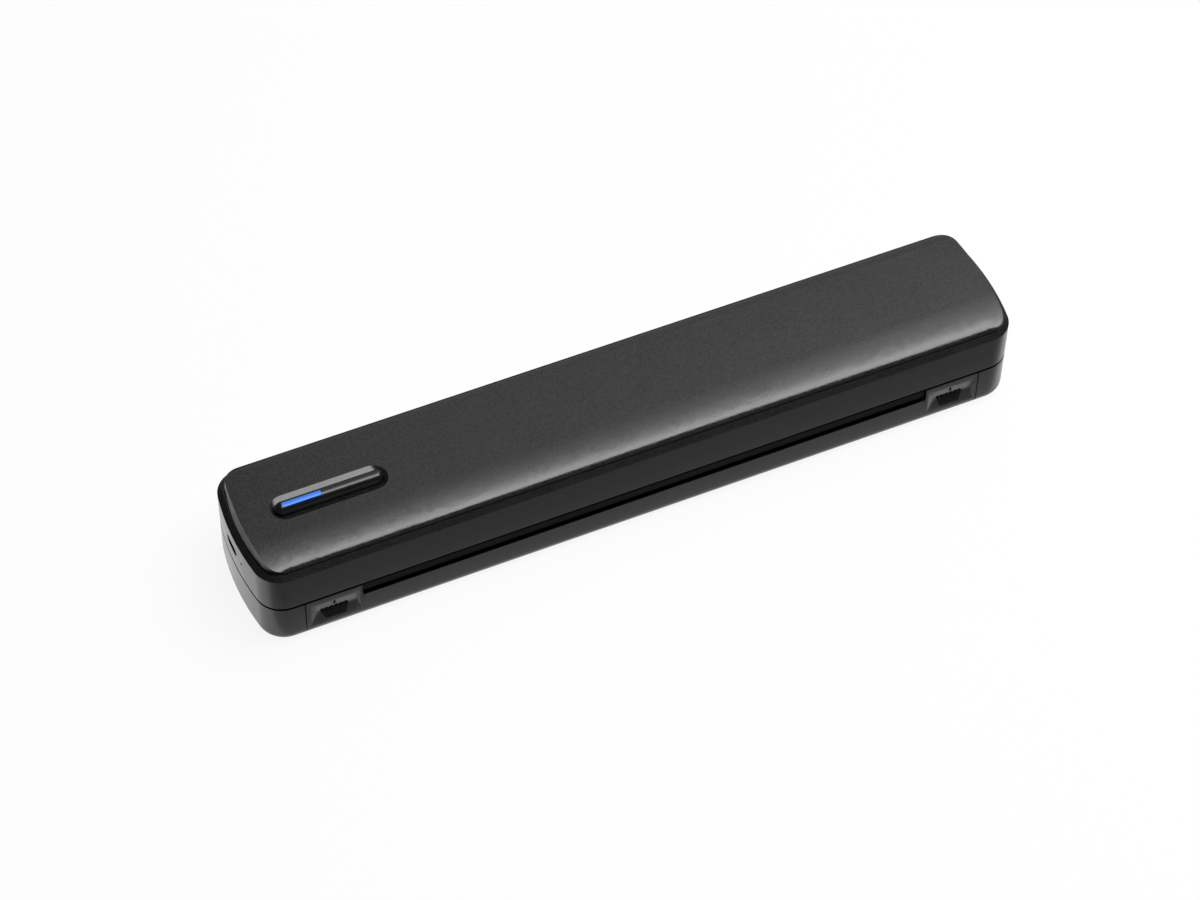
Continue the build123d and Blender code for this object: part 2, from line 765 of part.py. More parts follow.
# Grip pads: ridged trapezoids glued on the lower slopes of the scoops
slope_rise = scoop_floor_z - scoop_floor_height / 2 - scoop_low
slope_length = hypot(scoop_depth, slope_rise)
pad_reach = slope_length - pad_low_margin - pad_high_margin
with BuildPart() as grip_pads:
    for side in (-1, 1):
        pad_plane = Plane(origin=(side * scoop_x, front_y, base_z + scoop_low), x_dir=(1, 0, 0),
                          z_dir=(0, -slope_rise, scoop_depth))
        with BuildSketch(pad_plane):
            with BuildLine():
                Polyline((-pad_narrow / 2, pad_low_margin), (pad_narrow / 2, pad_low_margin),
                         (pad_wide / 2, slope_length - pad_high_margin),
                         (-pad_wide / 2, slope_length - pad_high_margin), (-pad_narrow / 2, pad_low_margin))
            make_face()
        extrude(amount=pad_thickness)
        with BuildSketch(pad_plane.offset(pad_thickness)):
            with Locations((0, pad_low_margin + pad_reach / 2)):
                with GridLocations(0, pad_reach / pad_ridges, 1, pad_ridges):
                    Rectangle(pad_narrow - 2 * pad_side_margin, pad_ridge_width)
        extrude(amount=pad_ridge_height)
save(grip_pads.part, "grip_pads")

# Tear bar: a toothed steel blade with a flange behind the front wall
tip_z = slot_z + tear_tip_lift
teeth = int(bar_width / tooth_pitch)
first_tooth_x = -teeth * tooth_pitch / 2
tooth_points = []
for tooth in range(teeth):
    tooth_points.append((first_tooth_x + tooth * tooth_pitch, tip_z + tooth_depth))
    tooth_points.append((first_tooth_x + (tooth + 0.5) * tooth_pitch, tip_z))
tooth_points.append((-first_tooth_x, tip_z + tooth_depth))
with BuildPart() as tear_bar:
    with BuildSketch(Plane.XZ.offset(-bar_front_y)):
        with BuildLine():
            left_end = (-bar_width / 2, tip_z + tooth_depth)
            right_end = (bar_width / 2, tip_z + tooth_depth)
            Polyline(left_end, *tooth_points, right_end, (bar_width / 2, bar_top_z),
                     (-bar_width / 2, bar_top_z), left_end)
        make_face()
    extrude(amount=-tear_thickness)
    with BuildSketch(section(-bar_width / 2)):
        with Locations((bar_rear_y + tear_flange / 2, bar_top_z - tear_thickness / 2)):
            Rectangle(tear_flange, tear_thickness)
    extrude(amount=bar_width)
save(tear_bar.part, "tear_bar")

# Paper guide on the cover: a ribbed table on two legs
with BuildPart() as paper_guide:
    with BuildSketch(section(-slot_width / 2)) as table:
        with Locations(((guide_front_y + guide_rear_y) / 2, (floor_z + guide_top_z) / 2)):
            Rectangle(guide_rear_y - guide_front_y, guide_top_z - floor_z)
        fillet(table.vertices().group_by(Axis.Y)[-1], guide_skin)
        with Locations(((guide_front_y + guide_rear_y) / 2, (floor_z + guide_top_z) / 2 - guide_skin)):
            Rectangle(guide_rear_y - guide_front_y - 2 * guide_skin, guide_top_z - floor_z,
                      mode=Mode.SUBTRACT)
    extrude(amount=slot_width)
    with BuildSketch(Plane.XY.offset(guide_top_z)):
        with Locations((0, (guide_front_y + guide_rear_y) / 2)):
            with GridLocations(guide_rib_pitch, 0, guide_ribs, 1):
                Rectangle(guide_rib_width, guide_rear_y - guide_front_y - 2 * guide_skin)
    extrude(amount=guide_rib_height)
save(paper_guide.part, "paper_guide")

# Entry guide: the ledge under the rear slot, sloping up to meet the table
entry_z = base_z + entry_top
with BuildPart() as entry_guide:
    with BuildSketch(section(-slot_width / 2)):
        with BuildLine():
            Polyline((rear_y - wall, entry_z), (entry_front_y, entry_z - entry_drop),
                     (entry_front_y, entry_z - entry_drop - entry_thickness),
                     (rear_y - wall, entry_z - 2 * entry_drop - entry_thickness), (rear_y - wall, entry_z))
        make_face()
    extrude(amount=slot_width)
save(entry_guide.part, "entry_guide")

# Paper ceiling between the side plates, flared up at the rear
with BuildPart() as upper_guide:
    with BuildSketch(section(-plate_x)):
        with BuildLine():
            Polyline((ceiling_front_y, ceiling_z), (ceiling_bend_y, ceiling_z),
                     (ceiling_rear_y, ceiling_z + ceiling_rise),
                     (ceiling_rear_y, ceiling_z + ceiling_rise + ceiling_skin),
                     (ceiling_bend_y, ceiling_z + ceiling_skin), (ceiling_front_y, ceiling_z + ceiling_skin),
                     (ceiling_front_y, ceiling_z))
        make_face()
    extrude(amount=2 * plate_x)
    with BuildSketch(Plane.XY.offset(ceiling_z)):
        with Locations((sensor_x, sensor_y)):
            Rectangle(sensor_size + 2 * sensor_gap, sensor_size + 2 * sensor_gap)
    extrude(amount=ceiling_skin, mode=Mode.SUBTRACT)
save(upper_guide.part, "upper_guide")

with BuildPart() as paper_sensor:
    with BuildSketch(Plane.XY.offset(ceiling_z)):
        with Locations((sensor_x, sensor_y)):
            Rectangle(sensor_size, sensor_size)
    extrude(amount=sensor_height)
    with BuildSketch(Plane.XY.offset(ceiling_z)):
        with Locations((sensor_x, sensor_y)):
            with GridLocations(sensor_eye_spacing, 0, 2, 1):
                Circle(sensor_eye_radius)
    extrude(amount=sensor_gap, mode=Mode.SUBTRACT)
save(paper_sensor.part, "paper_sensor")

# Gear places: the idler stands on the line along which the roller leaves, the compound
# gear where it reaches both the idler and the motor pinion
platen_pitch = gear_module_length * platen_teeth / 2
idler_pitch = gear_module_length * idler_teeth / 2
small_pitch = gear_module_length * small_teeth / 2
large_pitch = gear_module_length * large_teeth / 2
pinion_pitch = gear_module_length * pinion_teeth / 2
leave_y = -(platen_z - hinge_z) / platen_swing
leave_z = -(hinge_y - platen_y) / platen_swing
idler_y = platen_y - leave_y * (platen_pitch + idler_pitch)
idler_z = platen_z - leave_z * (platen_pitch + idler_pitch)
motor_reach = pinion_pitch + large_pitch
idler_reach = small_pitch + idler_pitch
span = hypot(idler_y - motor_y, idler_z - motor_z)
along = (motor_reach**2 - idler_reach**2 + span**2) / (2 * span)
across = sqrt(motor_reach**2 - along**2)
to_idler_y = (idler_y - motor_y) / span
to_idler_z = (idler_z - motor_z) / span
compound_y = motor_y + along * to_idler_y - across * to_idler_z
compound_z = motor_z + along * to_idler_z + across * to_idler_y


def meshed_phase(phase, pitch, centre, next_pitch, next_centre):
    # angle of a tooth on the next gear that puts it in the gap of the first gear
    bearing = atan2(next_centre[1] - centre[1], next_centre[0] - centre[0])
    offset = (radians(phase) - bearing) * pitch
    return degrees(bearing + pi - (offset - pi * gear_module_length / 2) / next_pitch)


def gear_face(tooth_count, phase):
    # spur gear outline: flanks follow an involute through root, pitch and tip
    pitch = gear_module_length * tooth_count / 2
    base = pitch * cos(radians(pressure_angle))
    root = pitch - gear_module_length * (gear_addendum + gear_dedentum_gap)
    tip = pitch + gear_module_length * gear_addendum
    half_tooth = (pi * gear_module_length / 2 - gear_backlash) / (2 * pitch)
    at_pitch = tan(radians(pressure_angle)) - radians(pressure_angle)
    points = []
    for tooth in range(tooth_count):
        middle = radians(phase) + tooth * 2 * pi / tooth_count
        flank = []
        for radius in (root, pitch, tip):
            slope = acos(min(1, base / radius))
            flank.append((radius, half_tooth + at_pitch - (tan(slope) - slope)))
        points += [(r * cos(middle - a), r * sin(middle - a)) for r, a in flank]
        points += [(r * cos(middle + a), r * sin(middle + a)) for r, a in reversed(flank)]
    with BuildSketch() as outline:
        with BuildLine():
            Polyline(*points, points[0])
        make_face()
    return outline.sketch


platen_phase = 0.0
platen_centre = (platen_y, platen_z)
idler_centre = (idler_y, idler_z)
compound_centre = (compound_y, compound_z)
idler_phase = meshed_phase(platen_phase, platen_pitch, platen_centre, idler_pitch, idler_centre)
small_phase = meshed_phase(idler_phase, idler_pitch, idler_centre, small_pitch, compound_centre)
large_phase = small_phase
pinion_phase = meshed_phase(large_phase, large_pitch, compound_centre, pinion_pitch, (motor_y, motor_z))
small_layer_end = small_layer_x + small_layer_width
large_layer_end = large_layer_x + large_layer_width

with BuildPart() as platen_gear:
    with BuildSketch(section(small_layer_x)):
        with Locations((platen_y, platen_z)):
            add(gear_face(platen_teeth, platen_phase))
            Circle(platen_core_radius + press_gap, mode=Mode.SUBTRACT)
    extrude(amount=small_layer_width)
save(platen_gear.part, "platen_gear")

with BuildPart() as idler_gear:
    with BuildSketch(section(small_layer_x)):
        with Locations((idler_y, idler_z)):
            add(gear_face(idler_teeth, idler_phase))
            Circle(post_radius + axle_gap, mode=Mode.SUBTRACT)
    extrude(amount=small_layer_width)
save(idler_gear.part, "idler_gear")

with BuildPart() as compound_gear:
    with BuildSketch(section(large_layer_x)):
        with Locations((compound_y, compound_z)):
            add(gear_face(large_teeth, large_phase))
            Circle(post_radius + axle_gap, mode=Mode.SUBTRACT)
    extrude(amount=large_layer_width)
    with BuildSketch(section(large_layer_end)):
        with Locations((compound_y, compound_z)):
            add(gear_face(small_teeth, small_phase))
            Circle(post_radius + axle_gap, mode=Mode.SUBTRACT)
    extrude(amount=small_layer_end - large_layer_end)
save(compound_gear.part, "compound_gear")

with BuildPart() as motor_pinion:
    with BuildSketch(section(large_layer_x)):
        with Locations((motor_y, motor_z)):
            add(gear_face(pinion_teeth, pinion_phase))
            Circle(motor_shaft_radius + press_gap, mode=Mode.SUBTRACT)
    extrude(amount=large_layer_width)
save(motor_pinion.part, "motor_pinion")

# Posts for the two intermediate gears, with the clips that keep the gears on
post_end = small_layer_end + gear_end_play + clip_thickness
with BuildPart() as gear_posts:
    with BuildSketch(section(plate_outer_x)):
        with Locations((idler_y, idler_z)):
            Circle(post_shoulder_radius)
    extrude(amount=small_layer_x - gear_end_play - plate_outer_x)
    with BuildSketch(section(plate_outer_x)):
        with Locations((compound_y, compound_z)):
            Circle(post_shoulder_radius)
    extrude(amount=large_layer_x - gear_end_play - plate_outer_x)
    with BuildSketch(section(plate_outer_x)):
        with Locations((idler_y, idler_z), (compound_y, compound_z)):
            Circle(post_radius)
    extrude(amount=post_end - plate_outer_x)
save(gear_posts.part, "gear_posts")

with BuildPart() as gear_clips:
    with BuildSketch(section(post_end - clip_thickness)):
        with Locations((idler_y, idler_z), (compound_y, compound_z)):
            Circle(clip_radius)
            Circle(post_radius + press_gap, mode=Mode.SUBTRACT)
    extrude(amount=clip_thickness)
save(gear_clips.part, "gear_clips")

# Print roller: steel shaft in a rubber sleeve, on two bushes held by the cover's brackets
shaft_left = -(plate_outer_x + bearing_flange_thickness + platen_core_radius)
bush_inner_x = bracket_inner_x - bearing_flange_thickness
bush_outer_x = plate_outer_x + bearing_flange_thickness
with BuildPart() as platen_shaft:
    with BuildSketch(section(shaft_left)):
        with Locations((platen_y, platen_z)):
            Circle(platen_core_radius)
    extrude(amount=small_layer_end - shaft_left)
save(platen_shaft.part, "platen_shaft")

with BuildPart() as platen_rubber:
    with BuildSketch(section(-platen_length / 2)):
        with Locations((platen_y, platen_z)):
            Circle(platen_radius)
            Circle(platen_core_radius + press_gap, mode=Mode.SUBTRACT)
    extrude(amount=platen_length)
save(platen_rubber.part, "platen_rubber")

with BuildPart() as platen_bushes:
    for side in (-1, 1):
        with BuildSketch(section(side * bush_inner_x)):
            with Locations((platen_y, platen_z)):
                Circle(bearing_radius)
        extrude(amount=side * (bush_outer_x - bush_inner_x))
        with BuildSketch(section(side * bush_inner_x)):
            with Locations((platen_y, platen_z)):
                Circle(bearing_flange_radius)
        extrude(amount=side * bearing_flange_thickness)
        with BuildSketch(section(side * bush_inner_x)):
            with Locations((platen_y, platen_z)):
                Circle(platen_core_radius + bearing_gap)
        extrude(amount=side * (bush_outer_x - bush_inner_x), mode=Mode.SUBTRACT)
save(platen_bushes.part, "platen_bushes")

with BuildPart() as platen_brackets:
    for side in (-1, 1):
        with BuildSketch(section(side * bracket_inner_x)):
            with Locations((platen_y, (floor_z + platen_z) / 2)):
                Trapezoid(bracket_foot_width, platen_z - floor_z, bracket_side_angle)
            with Locations((platen_y, platen_z)):
                Circle(bracket_top_radius)
                Circle(bearing_radius + press_gap, mode=Mode.SUBTRACT)
        extrude(amount=side * bracket_thickness)
save(platen_brackets.part, "platen_brackets")

# Hinge pins, fixed in the lower casing and running in the cover's barrel
with BuildPart() as hinge_pins:
    for side in (-1, 1):
        with BuildSketch(section(side * (tray_x + pin_in_case))):
            with Locations((hinge_y, hinge_z)):
                Circle(hinge_pin_radius)
        extrude(amount=-side * (pin_in_case + pin_in_cover))
save(hinge_pins.part, "hinge_pins")

# Side plates: a notch open downwards takes the roller's bushes along the cover's swing
def side_plate(side, with_motor):
    with BuildPart() as plate:
        with BuildSketch(section(side * plate_x)) as outline:
            with Locations(((plate_front_y + plate_rear_y) / 2, (plate_low + plate_high) / 2)):
                Rectangle(plate_rear_y - plate_front_y, plate_high - plate_low)
            if with_motor:
                with Locations(((plate_front_y + motor_wing_rear_y) / 2,
                                (motor_wing_low + plate_high) / 2)):
                    Rectangle(motor_wing_rear_y - plate_front_y, plate_high - motor_wing_low)
                with Locations(((plate_rear_y - plate_corner + motor_wing_rear_y) / 2,
                                (plate_high + motor_wing_high) / 2)):
                    Rectangle(motor_wing_rear_y - plate_rear_y + plate_corner, motor_wing_high - plate_high)
            fillet(outline.vertices(), plate_corner)
            with Locations((platen_y, platen_z)):
                Circle(bearing_radius + notch_gap, mode=Mode.SUBTRACT)
            with BuildLine():
                far_side = CenterArc((hinge_y, hinge_z), platen_swing + bearing_radius + notch_gap,
                                     platen_bearing_angle, notch_sweep)
                near_side = CenterArc((hinge_y, hinge_z), platen_swing - bearing_radius - notch_gap,
                                      platen_bearing_angle, notch_sweep)
                Line(far_side @ 0, near_side @ 0)
                Line(far_side @ 1, near_side @ 1)
            make_face(mode=Mode.SUBTRACT)
            with Locations((pivot_y, pivot_z)):
                Circle(pivot_radius + press_gap, mode=Mode.SUBTRACT)
            if with_motor:
                with Locations((motor_y, motor_z)):
                    Circle(motor_boss_radius + press_gap, mode=Mode.SUBTRACT)
        extrude(amount=side * plate_thickness)
    return plate.part


save(side_plate(-1, False), "side_plate_left")
save(side_plate(1, True), "side_plate_right")

# Beam across the mechanism, hung from the casing's posts
with BuildPart() as chassis_beam:
    with BuildSketch(section(-plate_x)):
        with Locations(((beam_front_y + beam_rear_y) / 2, plate_high - beam_thickness / 2)):
            Rectangle(beam_rear_y - beam_front_y, beam_thickness)
        with Locations((beam_front_y + beam_thickness / 2, plate_high - beam_lip / 2)):
            Rectangle(beam_thickness, beam_lip)
    extrude(amount=2 * plate_x)
    with BuildSketch(Plane.XY.offset(beam_z)):
        with Locations((0, chassis_screw_y)), GridLocations(chassis_screw_pitch, 0, chassis_screws_across, 1):
            Circle(screw_radius + screw_clearance)
    extrude(amount=beam_thickness, mode=Mode.SUBTRACT)
save(chassis_beam.part, "chassis_beam")

# Print head: ceramic board with a glazed heating line, under a grooved aluminium plate
with BuildPart() as head_ceramic:
    with BuildSketch(section(-head_length / 2)):
        with Locations(((head_front_y + ceramic_rear_y) / 2, head_under_z + ceramic_thickness / 2)):
            Rectangle(ceramic_rear_y - head_front_y, ceramic_thickness)
    extrude(amount=head_length)
save(head_ceramic.part, "head_ceramic")

with BuildPart() as head_heat_sink:
    with BuildSketch(section(-head_length / 2)):
        with Locations(((head_front_y + head_rear_y) / 2, sink_z + sink_thickness / 2)):
            Rectangle(head_rear_y - head_front_y, sink_thickness)
        with Locations((sink_groove_y, sink_top_z - sink_groove_depth / 2)):
            with GridLocations(2 * sink_groove_width, 0, sink_grooves, 1):
                Rectangle(sink_groove_width, sink_groove_depth, mode=Mode.SUBTRACT)
    extrude(amount=head_length)
    for side in (-1, 1):
        with BuildSketch(section(side * head_length / 2)):
            with Locations((pivot_y, pivot_z)):
                Circle(pivot_radius + bearing_gap)
        extrude(amount=-side * pivot_reach, mode=Mode.SUBTRACT)
save(head_heat_sink.part, "head_heat_sink")

with BuildPart() as head_board:
    with BuildSketch(section(-head_length / 2)):
        with Locations(((ceramic_rear_y + press_gap + head_rear_y) / 2, sink_z - head_board_thickness / 2)):
            Rectangle(head_rear_y - ceramic_rear_y - press_gap, head_board_thickness)
    extrude(amount=head_length)
save(head_board.part, "head_board")

with BuildPart() as head_pivot_pins:
    for side in (-1, 1):
        with BuildSketch(section(side * (plate_outer_x + bearing_gap))):
            with Locations((pivot_y, pivot_z)):
                Circle(pivot_radius)
        extrude(amount=-side * (plate_outer_x - head_length / 2 + pivot_reach - bearing_gap))
        with BuildSketch(section(side * plate_outer_x)):
            with Locations((pivot_y, pivot_z)):
                Circle(clip_radius)
        extrude(amount=side * clip_thickness)
save(head_pivot_pins.part, "head_pivot_pins")

# Leaf spring under the beam: a strip with fingers that press on the head
spring_top_z = beam_z
with BuildPart() as head_spring:
    with BuildSketch(Plane.XY.offset(spring_top_z)):
        with Locations((0, (spring_root_y + spring_rear_y) / 2)):
            Rectangle(2 * plate_x - 2 * spring_finger_width, spring_rear_y - spring_root_y)
    extrude(amount=-spring_thickness)
    for finger in range(spring_fingers):
        finger_x = (finger - (spring_fingers - 1) / 2) * spring_finger_pitch
        with BuildSketch(section(finger_x - spring_finger_width / 2)):
            with BuildLine():
                Polyline((spring_root_y + spring_thickness, spring_top_z - spring_thickness / 2),
                         (spring_root_y, spring_top_z - spring_thickness / 2),
                         (spring_tip_y + spring_tip_radius, sink_top_z + spring_gap + spring_thickness),
                         (spring_tip_y, sink_top_z + spring_gap + 2 * spring_thickness))
            trace(line_width=spring_thickness)
        extrude(amount=spring_finger_width)
save(head_spring.part, "head_spring")

# Motor with its flange, shaft and the boss that centres it in the side plate
motor_face_x = plate_x - motor_flange_thickness
boss_end_x = plate_x + motor_boss_length
with BuildPart() as motor:
    with BuildSketch(section(motor_face_x - motor_length)):
        with Locations((motor_y, motor_z)):
            Circle(motor_radius)
    extrude(amount=motor_length)
    chamfer(motor.edges().filter_by(GeomType.CIRCLE), motor_chamfer)
    with BuildSketch(section(motor_face_x)):
        with Locations((motor_y, motor_z)):
            Circle(motor_boss_radius)
    extrude(amount=boss_end_x - motor_face_x)
    with BuildSketch(section(boss_end_x)):
        with Locations((motor_y, motor_z)):
            Circle(motor_shaft_radius + axle_gap)
    extrude(amount=-(motor_shaft_depth + axle_gap), mode=Mode.SUBTRACT)
save(motor.part, "motor")

with BuildPart() as motor_flange:
    with BuildSketch(section(motor_face_x)):
        with Locations((motor_y, motor_z)):
            Circle(motor_flange_size / 2)
            Circle(motor_boss_radius + press_gap, mode=Mode.SUBTRACT)
    extrude(amount=motor_flange_thickness)
save(motor_flange.part, "motor_flange")

with BuildPart() as motor_shaft:
    with BuildSketch(section(boss_end_x - motor_shaft_depth)):
        with Locations((motor_y, motor_z)):
            Circle(motor_shaft_radius)
    extrude(amount=large_layer_end + clip_thickness - boss_end_x + motor_shaft_depth)
save(motor_shaft.part, "motor_shaft")

# Battery: two round cells in saddles on the paper ceiling
ceiling_top_z = ceiling_z + ceiling_skin
cell_xs = (first_cell_x, first_cell_x + cell_spacing)
with BuildPart() as battery_cells:
    for cell_x in cell_xs:
        with BuildSketch(section(cell_x)):
            with Locations((cell_y, cell_z)):
                Circle(cell_radius)
        extrude(amount=cell_length)
        with BuildSketch(section(cell_x + cell_length)):
            with Locations((cell_y, cell_z)):
                Circle(cell_cap_radius)
        extrude(amount=cell_cap_height)
save(battery_cells.part, "battery_cells")

saddle_rear_y = cell_y + cell_radius + saddle_side
flare = ceiling_rise / (ceiling_rear_y - ceiling_bend_y)
with BuildPart() as battery_saddles:
    for cell_x in cell_xs:
        for saddle_x in (cell_x + saddle_inset, cell_x + cell_length - saddle_inset - saddle_thickness):
            with BuildSketch(section(saddle_x)):
                with Locations(((ceiling_front_y + saddle_rear_y) / 2, (ceiling_top_z + saddle_top) / 2)):
                    Rectangle(saddle_rear_y - ceiling_front_y, saddle_top - ceiling_top_z)
                with Locations((cell_y, cell_z)):
                    Circle(cell_radius + cell_seat_gap, mode=Mode.SUBTRACT)
                with BuildLine():
                    Polyline((ceiling_bend_y, ceiling_top_z),
                             (saddle_rear_y, ceiling_top_z + flare * (saddle_rear_y - ceiling_bend_y)),
                             (saddle_rear_y, ceiling_top_z), (ceiling_bend_y, ceiling_top_z))
                make_face(mode=Mode.SUBTRACT)
            extrude(amount=saddle_thickness)
save(battery_saddles.part, "battery_saddles")

# Main board with its step past the side plate, and what is soldered to it
wing_left_x = board_step_x - 2 * board_peg_radius
with BuildPart() as main_board:
    with BuildSketch(Plane.XY.offset(board_z)):
        with Locations(((board_left_x + board_step_x) / 2, (board_front_y + board_step_rear_y) / 2)):
            Rectangle(board_step_x - board_left_x, board_step_rear_y - board_front_y)
        with Locations(((wing_left_x + board_right_x) / 2, (board_wing_front_y + board_rear_y) / 2)):
            Rectangle(board_right_x - wing_left_x, board_rear_y - board_wing_front_y)
    extrude(amount=board_thickness)
save(main_board.part, "main_board")

with BuildPart() as main_chip:
    with BuildSketch(Plane.XY.offset(board_top_z)):
        with Locations((chip_x, chip_y)):
            Rectangle(chip_size, chip_size)
    extrude(amount=chip_height)
    chamfer(main_chip.edges().group_by(Axis.Z)[-1], chip_chamfer)
save(main_chip.part, "main_chip")

with BuildPart() as wireless_module:
    with BuildSketch(Plane.XY.offset(board_top_z)):
        with Locations((wireless_x, wireless_y)):
            RectangleRounded(wireless_size, wireless_size, wireless_round)
    extrude(amount=wireless_height)
save(wireless_module.part, "wireless_module")

connector_z = board_z - connector_height
with BuildPart() as cable_connector:
    with BuildSketch(Plane.XY.offset(connector_z)):
        with Locations((connector_x, board_wing_front_y + connector_depth / 2)):
            Rectangle(connector_width, connector_depth)
    extrude(amount=connector_height)
    with BuildSketch(section(connector_x - cable_width / 2 - press_gap)):
        with Locations((board_wing_front_y + connector_depth / 4, connector_z + connector_height / 2)):
            Rectangle(connector_depth / 2, cable_thickness + 2 * press_gap)
    extrude(amount=cable_width + 2 * press_gap, mode=Mode.SUBTRACT)
save(cable_connector.part, "cable_connector")

# Flat cable from behind the print head up into the connector
with BuildPart() as head_cable:
    with BuildSketch(section(connector_x - cable_width / 2)):
        with BuildLine():
            cable_turn_z = connector_z + connector_height / 2 - cable_bend
            rise = Line((cable_y, head_under_z + cable_lift), (cable_y, cable_turn_z))
            turn = TangentArc(rise @ 1, (cable_y + cable_bend, cable_turn_z + cable_bend), tangent=rise % 1)
            Line(turn @ 1, (board_wing_front_y + connector_depth / 2, cable_turn_z + cable_bend))
        trace(line_width=cable_thickness)
    extrude(amount=cable_width)
save(head_cable.part, "head_cable")

# Charging socket: a pressed shell with a contact tongue
usb_mouth_x = -body_length / 2 + usb_recess
with BuildPart() as usb_shell:
    with BuildSketch(section(usb_mouth_x)):
        with Locations((usb_y, usb_z)):
            SlotOverall(usb_width, usb_thick)
    extrude(amount=usb_depth)
    with BuildSketch(section(usb_mouth_x)):
        with Locations((usb_y, usb_z)):
            SlotOverall(usb_width - 2 * usb_skin, usb_thick - 2 * usb_skin)
    extrude(amount=usb_depth - usb_skin, mode=Mode.SUBTRACT)
save(usb_shell.part, "usb_shell")

with BuildPart() as usb_tongue:
    with BuildSketch(section(usb_mouth_x + tongue_setback)):
        with Locations((usb_y, usb_z)):
            Rectangle(tongue_width, tongue_thick)
    extrude(amount=usb_depth - usb_skin - tongue_setback)
save(usb_tongue.part, "usb_tongue")

# Reset switch and the plunger that a pin pushes through the pinhole
reset_face_x = board_left_x + reset_gap + reset_reach
plunger_tail = reset_reach / 2
with BuildPart() as reset_switch:
    with BuildSketch(Plane.XY.offset(board_top_z)):
        with Locations((reset_face_x + reset_body / 2, reset_y)):
            Rectangle(reset_body, reset_body)
    extrude(amount=reset_body_height)
    with BuildSketch(section(reset_face_x)):
        with Locations((reset_y, usb_z)):
            Circle(reset_radius + reset_gap)
    extrude(amount=plunger_tail + reset_travel + reset_gap, mode=Mode.SUBTRACT)
save(reset_switch.part, "reset_switch")

with BuildPart() as reset_plunger:
    with BuildSketch(section(reset_face_x - reset_reach)):
        with Locations((reset_y, usb_z)):
            Circle(reset_radius)
    extrude(amount=reset_reach + plunger_tail)
save(reset_plunger.part, "reset_plunger")

# Button board with the power switch and the lamps under the light strip
button_board_top_z = button_board_z + button_board_thickness
with BuildPart() as button_board:
    with BuildSketch(Plane.XY.offset(button_board_z)):
        with Locations((button_x, 0)):
            RectangleRounded(button_board_length, button_board_depth, button_peg_radius)
    extrude(amount=button_board_thickness)
save(button_board.part, "button_board")

plunger_low_z = button_board_top_z + switch_height - switch_plunger_sink
with BuildPart() as power_switch:
    with BuildSketch(Plane.XY.offset(button_board_top_z)):
        with Locations((stem_x, 0)):
            Rectangle(switch_size, switch_size)
    extrude(amount=switch_height)
    with BuildSketch(Plane.XY.offset(button_board_top_z + switch_height)):
        with Locations((stem_x, 0)):
            Circle(stem_radius + reset_gap)
    extrude(amount=-(switch_plunger_sink + button_travel + reset_gap), mode=Mode.SUBTRACT)
save(power_switch.part, "power_switch")

with BuildPart() as switch_plunger:
    with BuildSketch(Plane.XY.offset(plunger_low_z)):
        with Locations((stem_x, 0)):
            Circle(stem_radius)
    extrude(amount=switch_top_z - plunger_low_z)
save(switch_plunger.part, "switch_plunger")

with BuildPart() as status_leds:
    with BuildSketch(Plane.XY.offset(button_board_top_z)):
        with Locations((light_x, light_y)):
            with GridLocations(led_pitch, 0, leds, 1):
                Rectangle(led_size, led_depth)
    extrude(amount=led_height)
save(status_leds.part, "status_leds")

with BuildPart() as cover_sensor:
    with BuildSketch(section(-plate_outer_x)):
        with Locations((cover_sensor_y, cover_sensor_z)):
            Rectangle(cover_sensor_size, cover_sensor_size)
            with Locations((0, (cover_sensor_slot_height - cover_sensor_size) / 2)):
                Rectangle(cover_sensor_slot_width, cover_sensor_slot_height, mode=Mode.SUBTRACT)
    extrude(amount=-cover_sensor_thickness)
save(cover_sensor.part, "cover_sensor")


# Screws: pan heads with a cross recess left to the finish
def screw_set(places, seat_z, length):
    with BuildPart() as screws:
        with BuildSketch(Plane.XY.offset(seat_z - screw_head_height)):
            with Locations(*places):
                Circle(screw_head_radius)
        extrude(amount=screw_head_height)
        with BuildSketch(Plane.XY.offset(seat_z)):
            with Locations(*places):
                Circle(screw_radius)
        extrude(amount=length)
    return screws.part


case_screw_places = [(x * case_screw_x, y * case_screw_y) for x in (-1, 1) for y in (-1, 1)]
chassis_screw_places = [((column - (chassis_screws_across - 1) / 2) * chassis_screw_pitch, chassis_screw_y)
                        for column in range(chassis_screws_across)]
case_seat_z = base_z + screw_recess + screw_head_height
save(screw_set(case_screw_places, case_seat_z, case_screw_length), "case_screws")
save(screw_set(chassis_screw_places, beam_z, chassis_screw_length), "chassis_screws")

with BuildPart() as rubber_feet:
    with BuildSketch(Plane.XY):
        with GridLocations(2 * foot_x, 2 * foot_y, 2, 2):
            SlotOverall(foot_length - 2 * press_gap, foot_width - 2 * press_gap, rotation=90)
    extrude(amount=foot_height + foot_pocket)
    chamfer(rubber_feet.edges().group_by(Axis.Z)[0], foot_chamfer)
save(rubber_feet.part, "rubber_feet")
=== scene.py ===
import json
import math
import bpy
from mathutils import Matrix, Vector


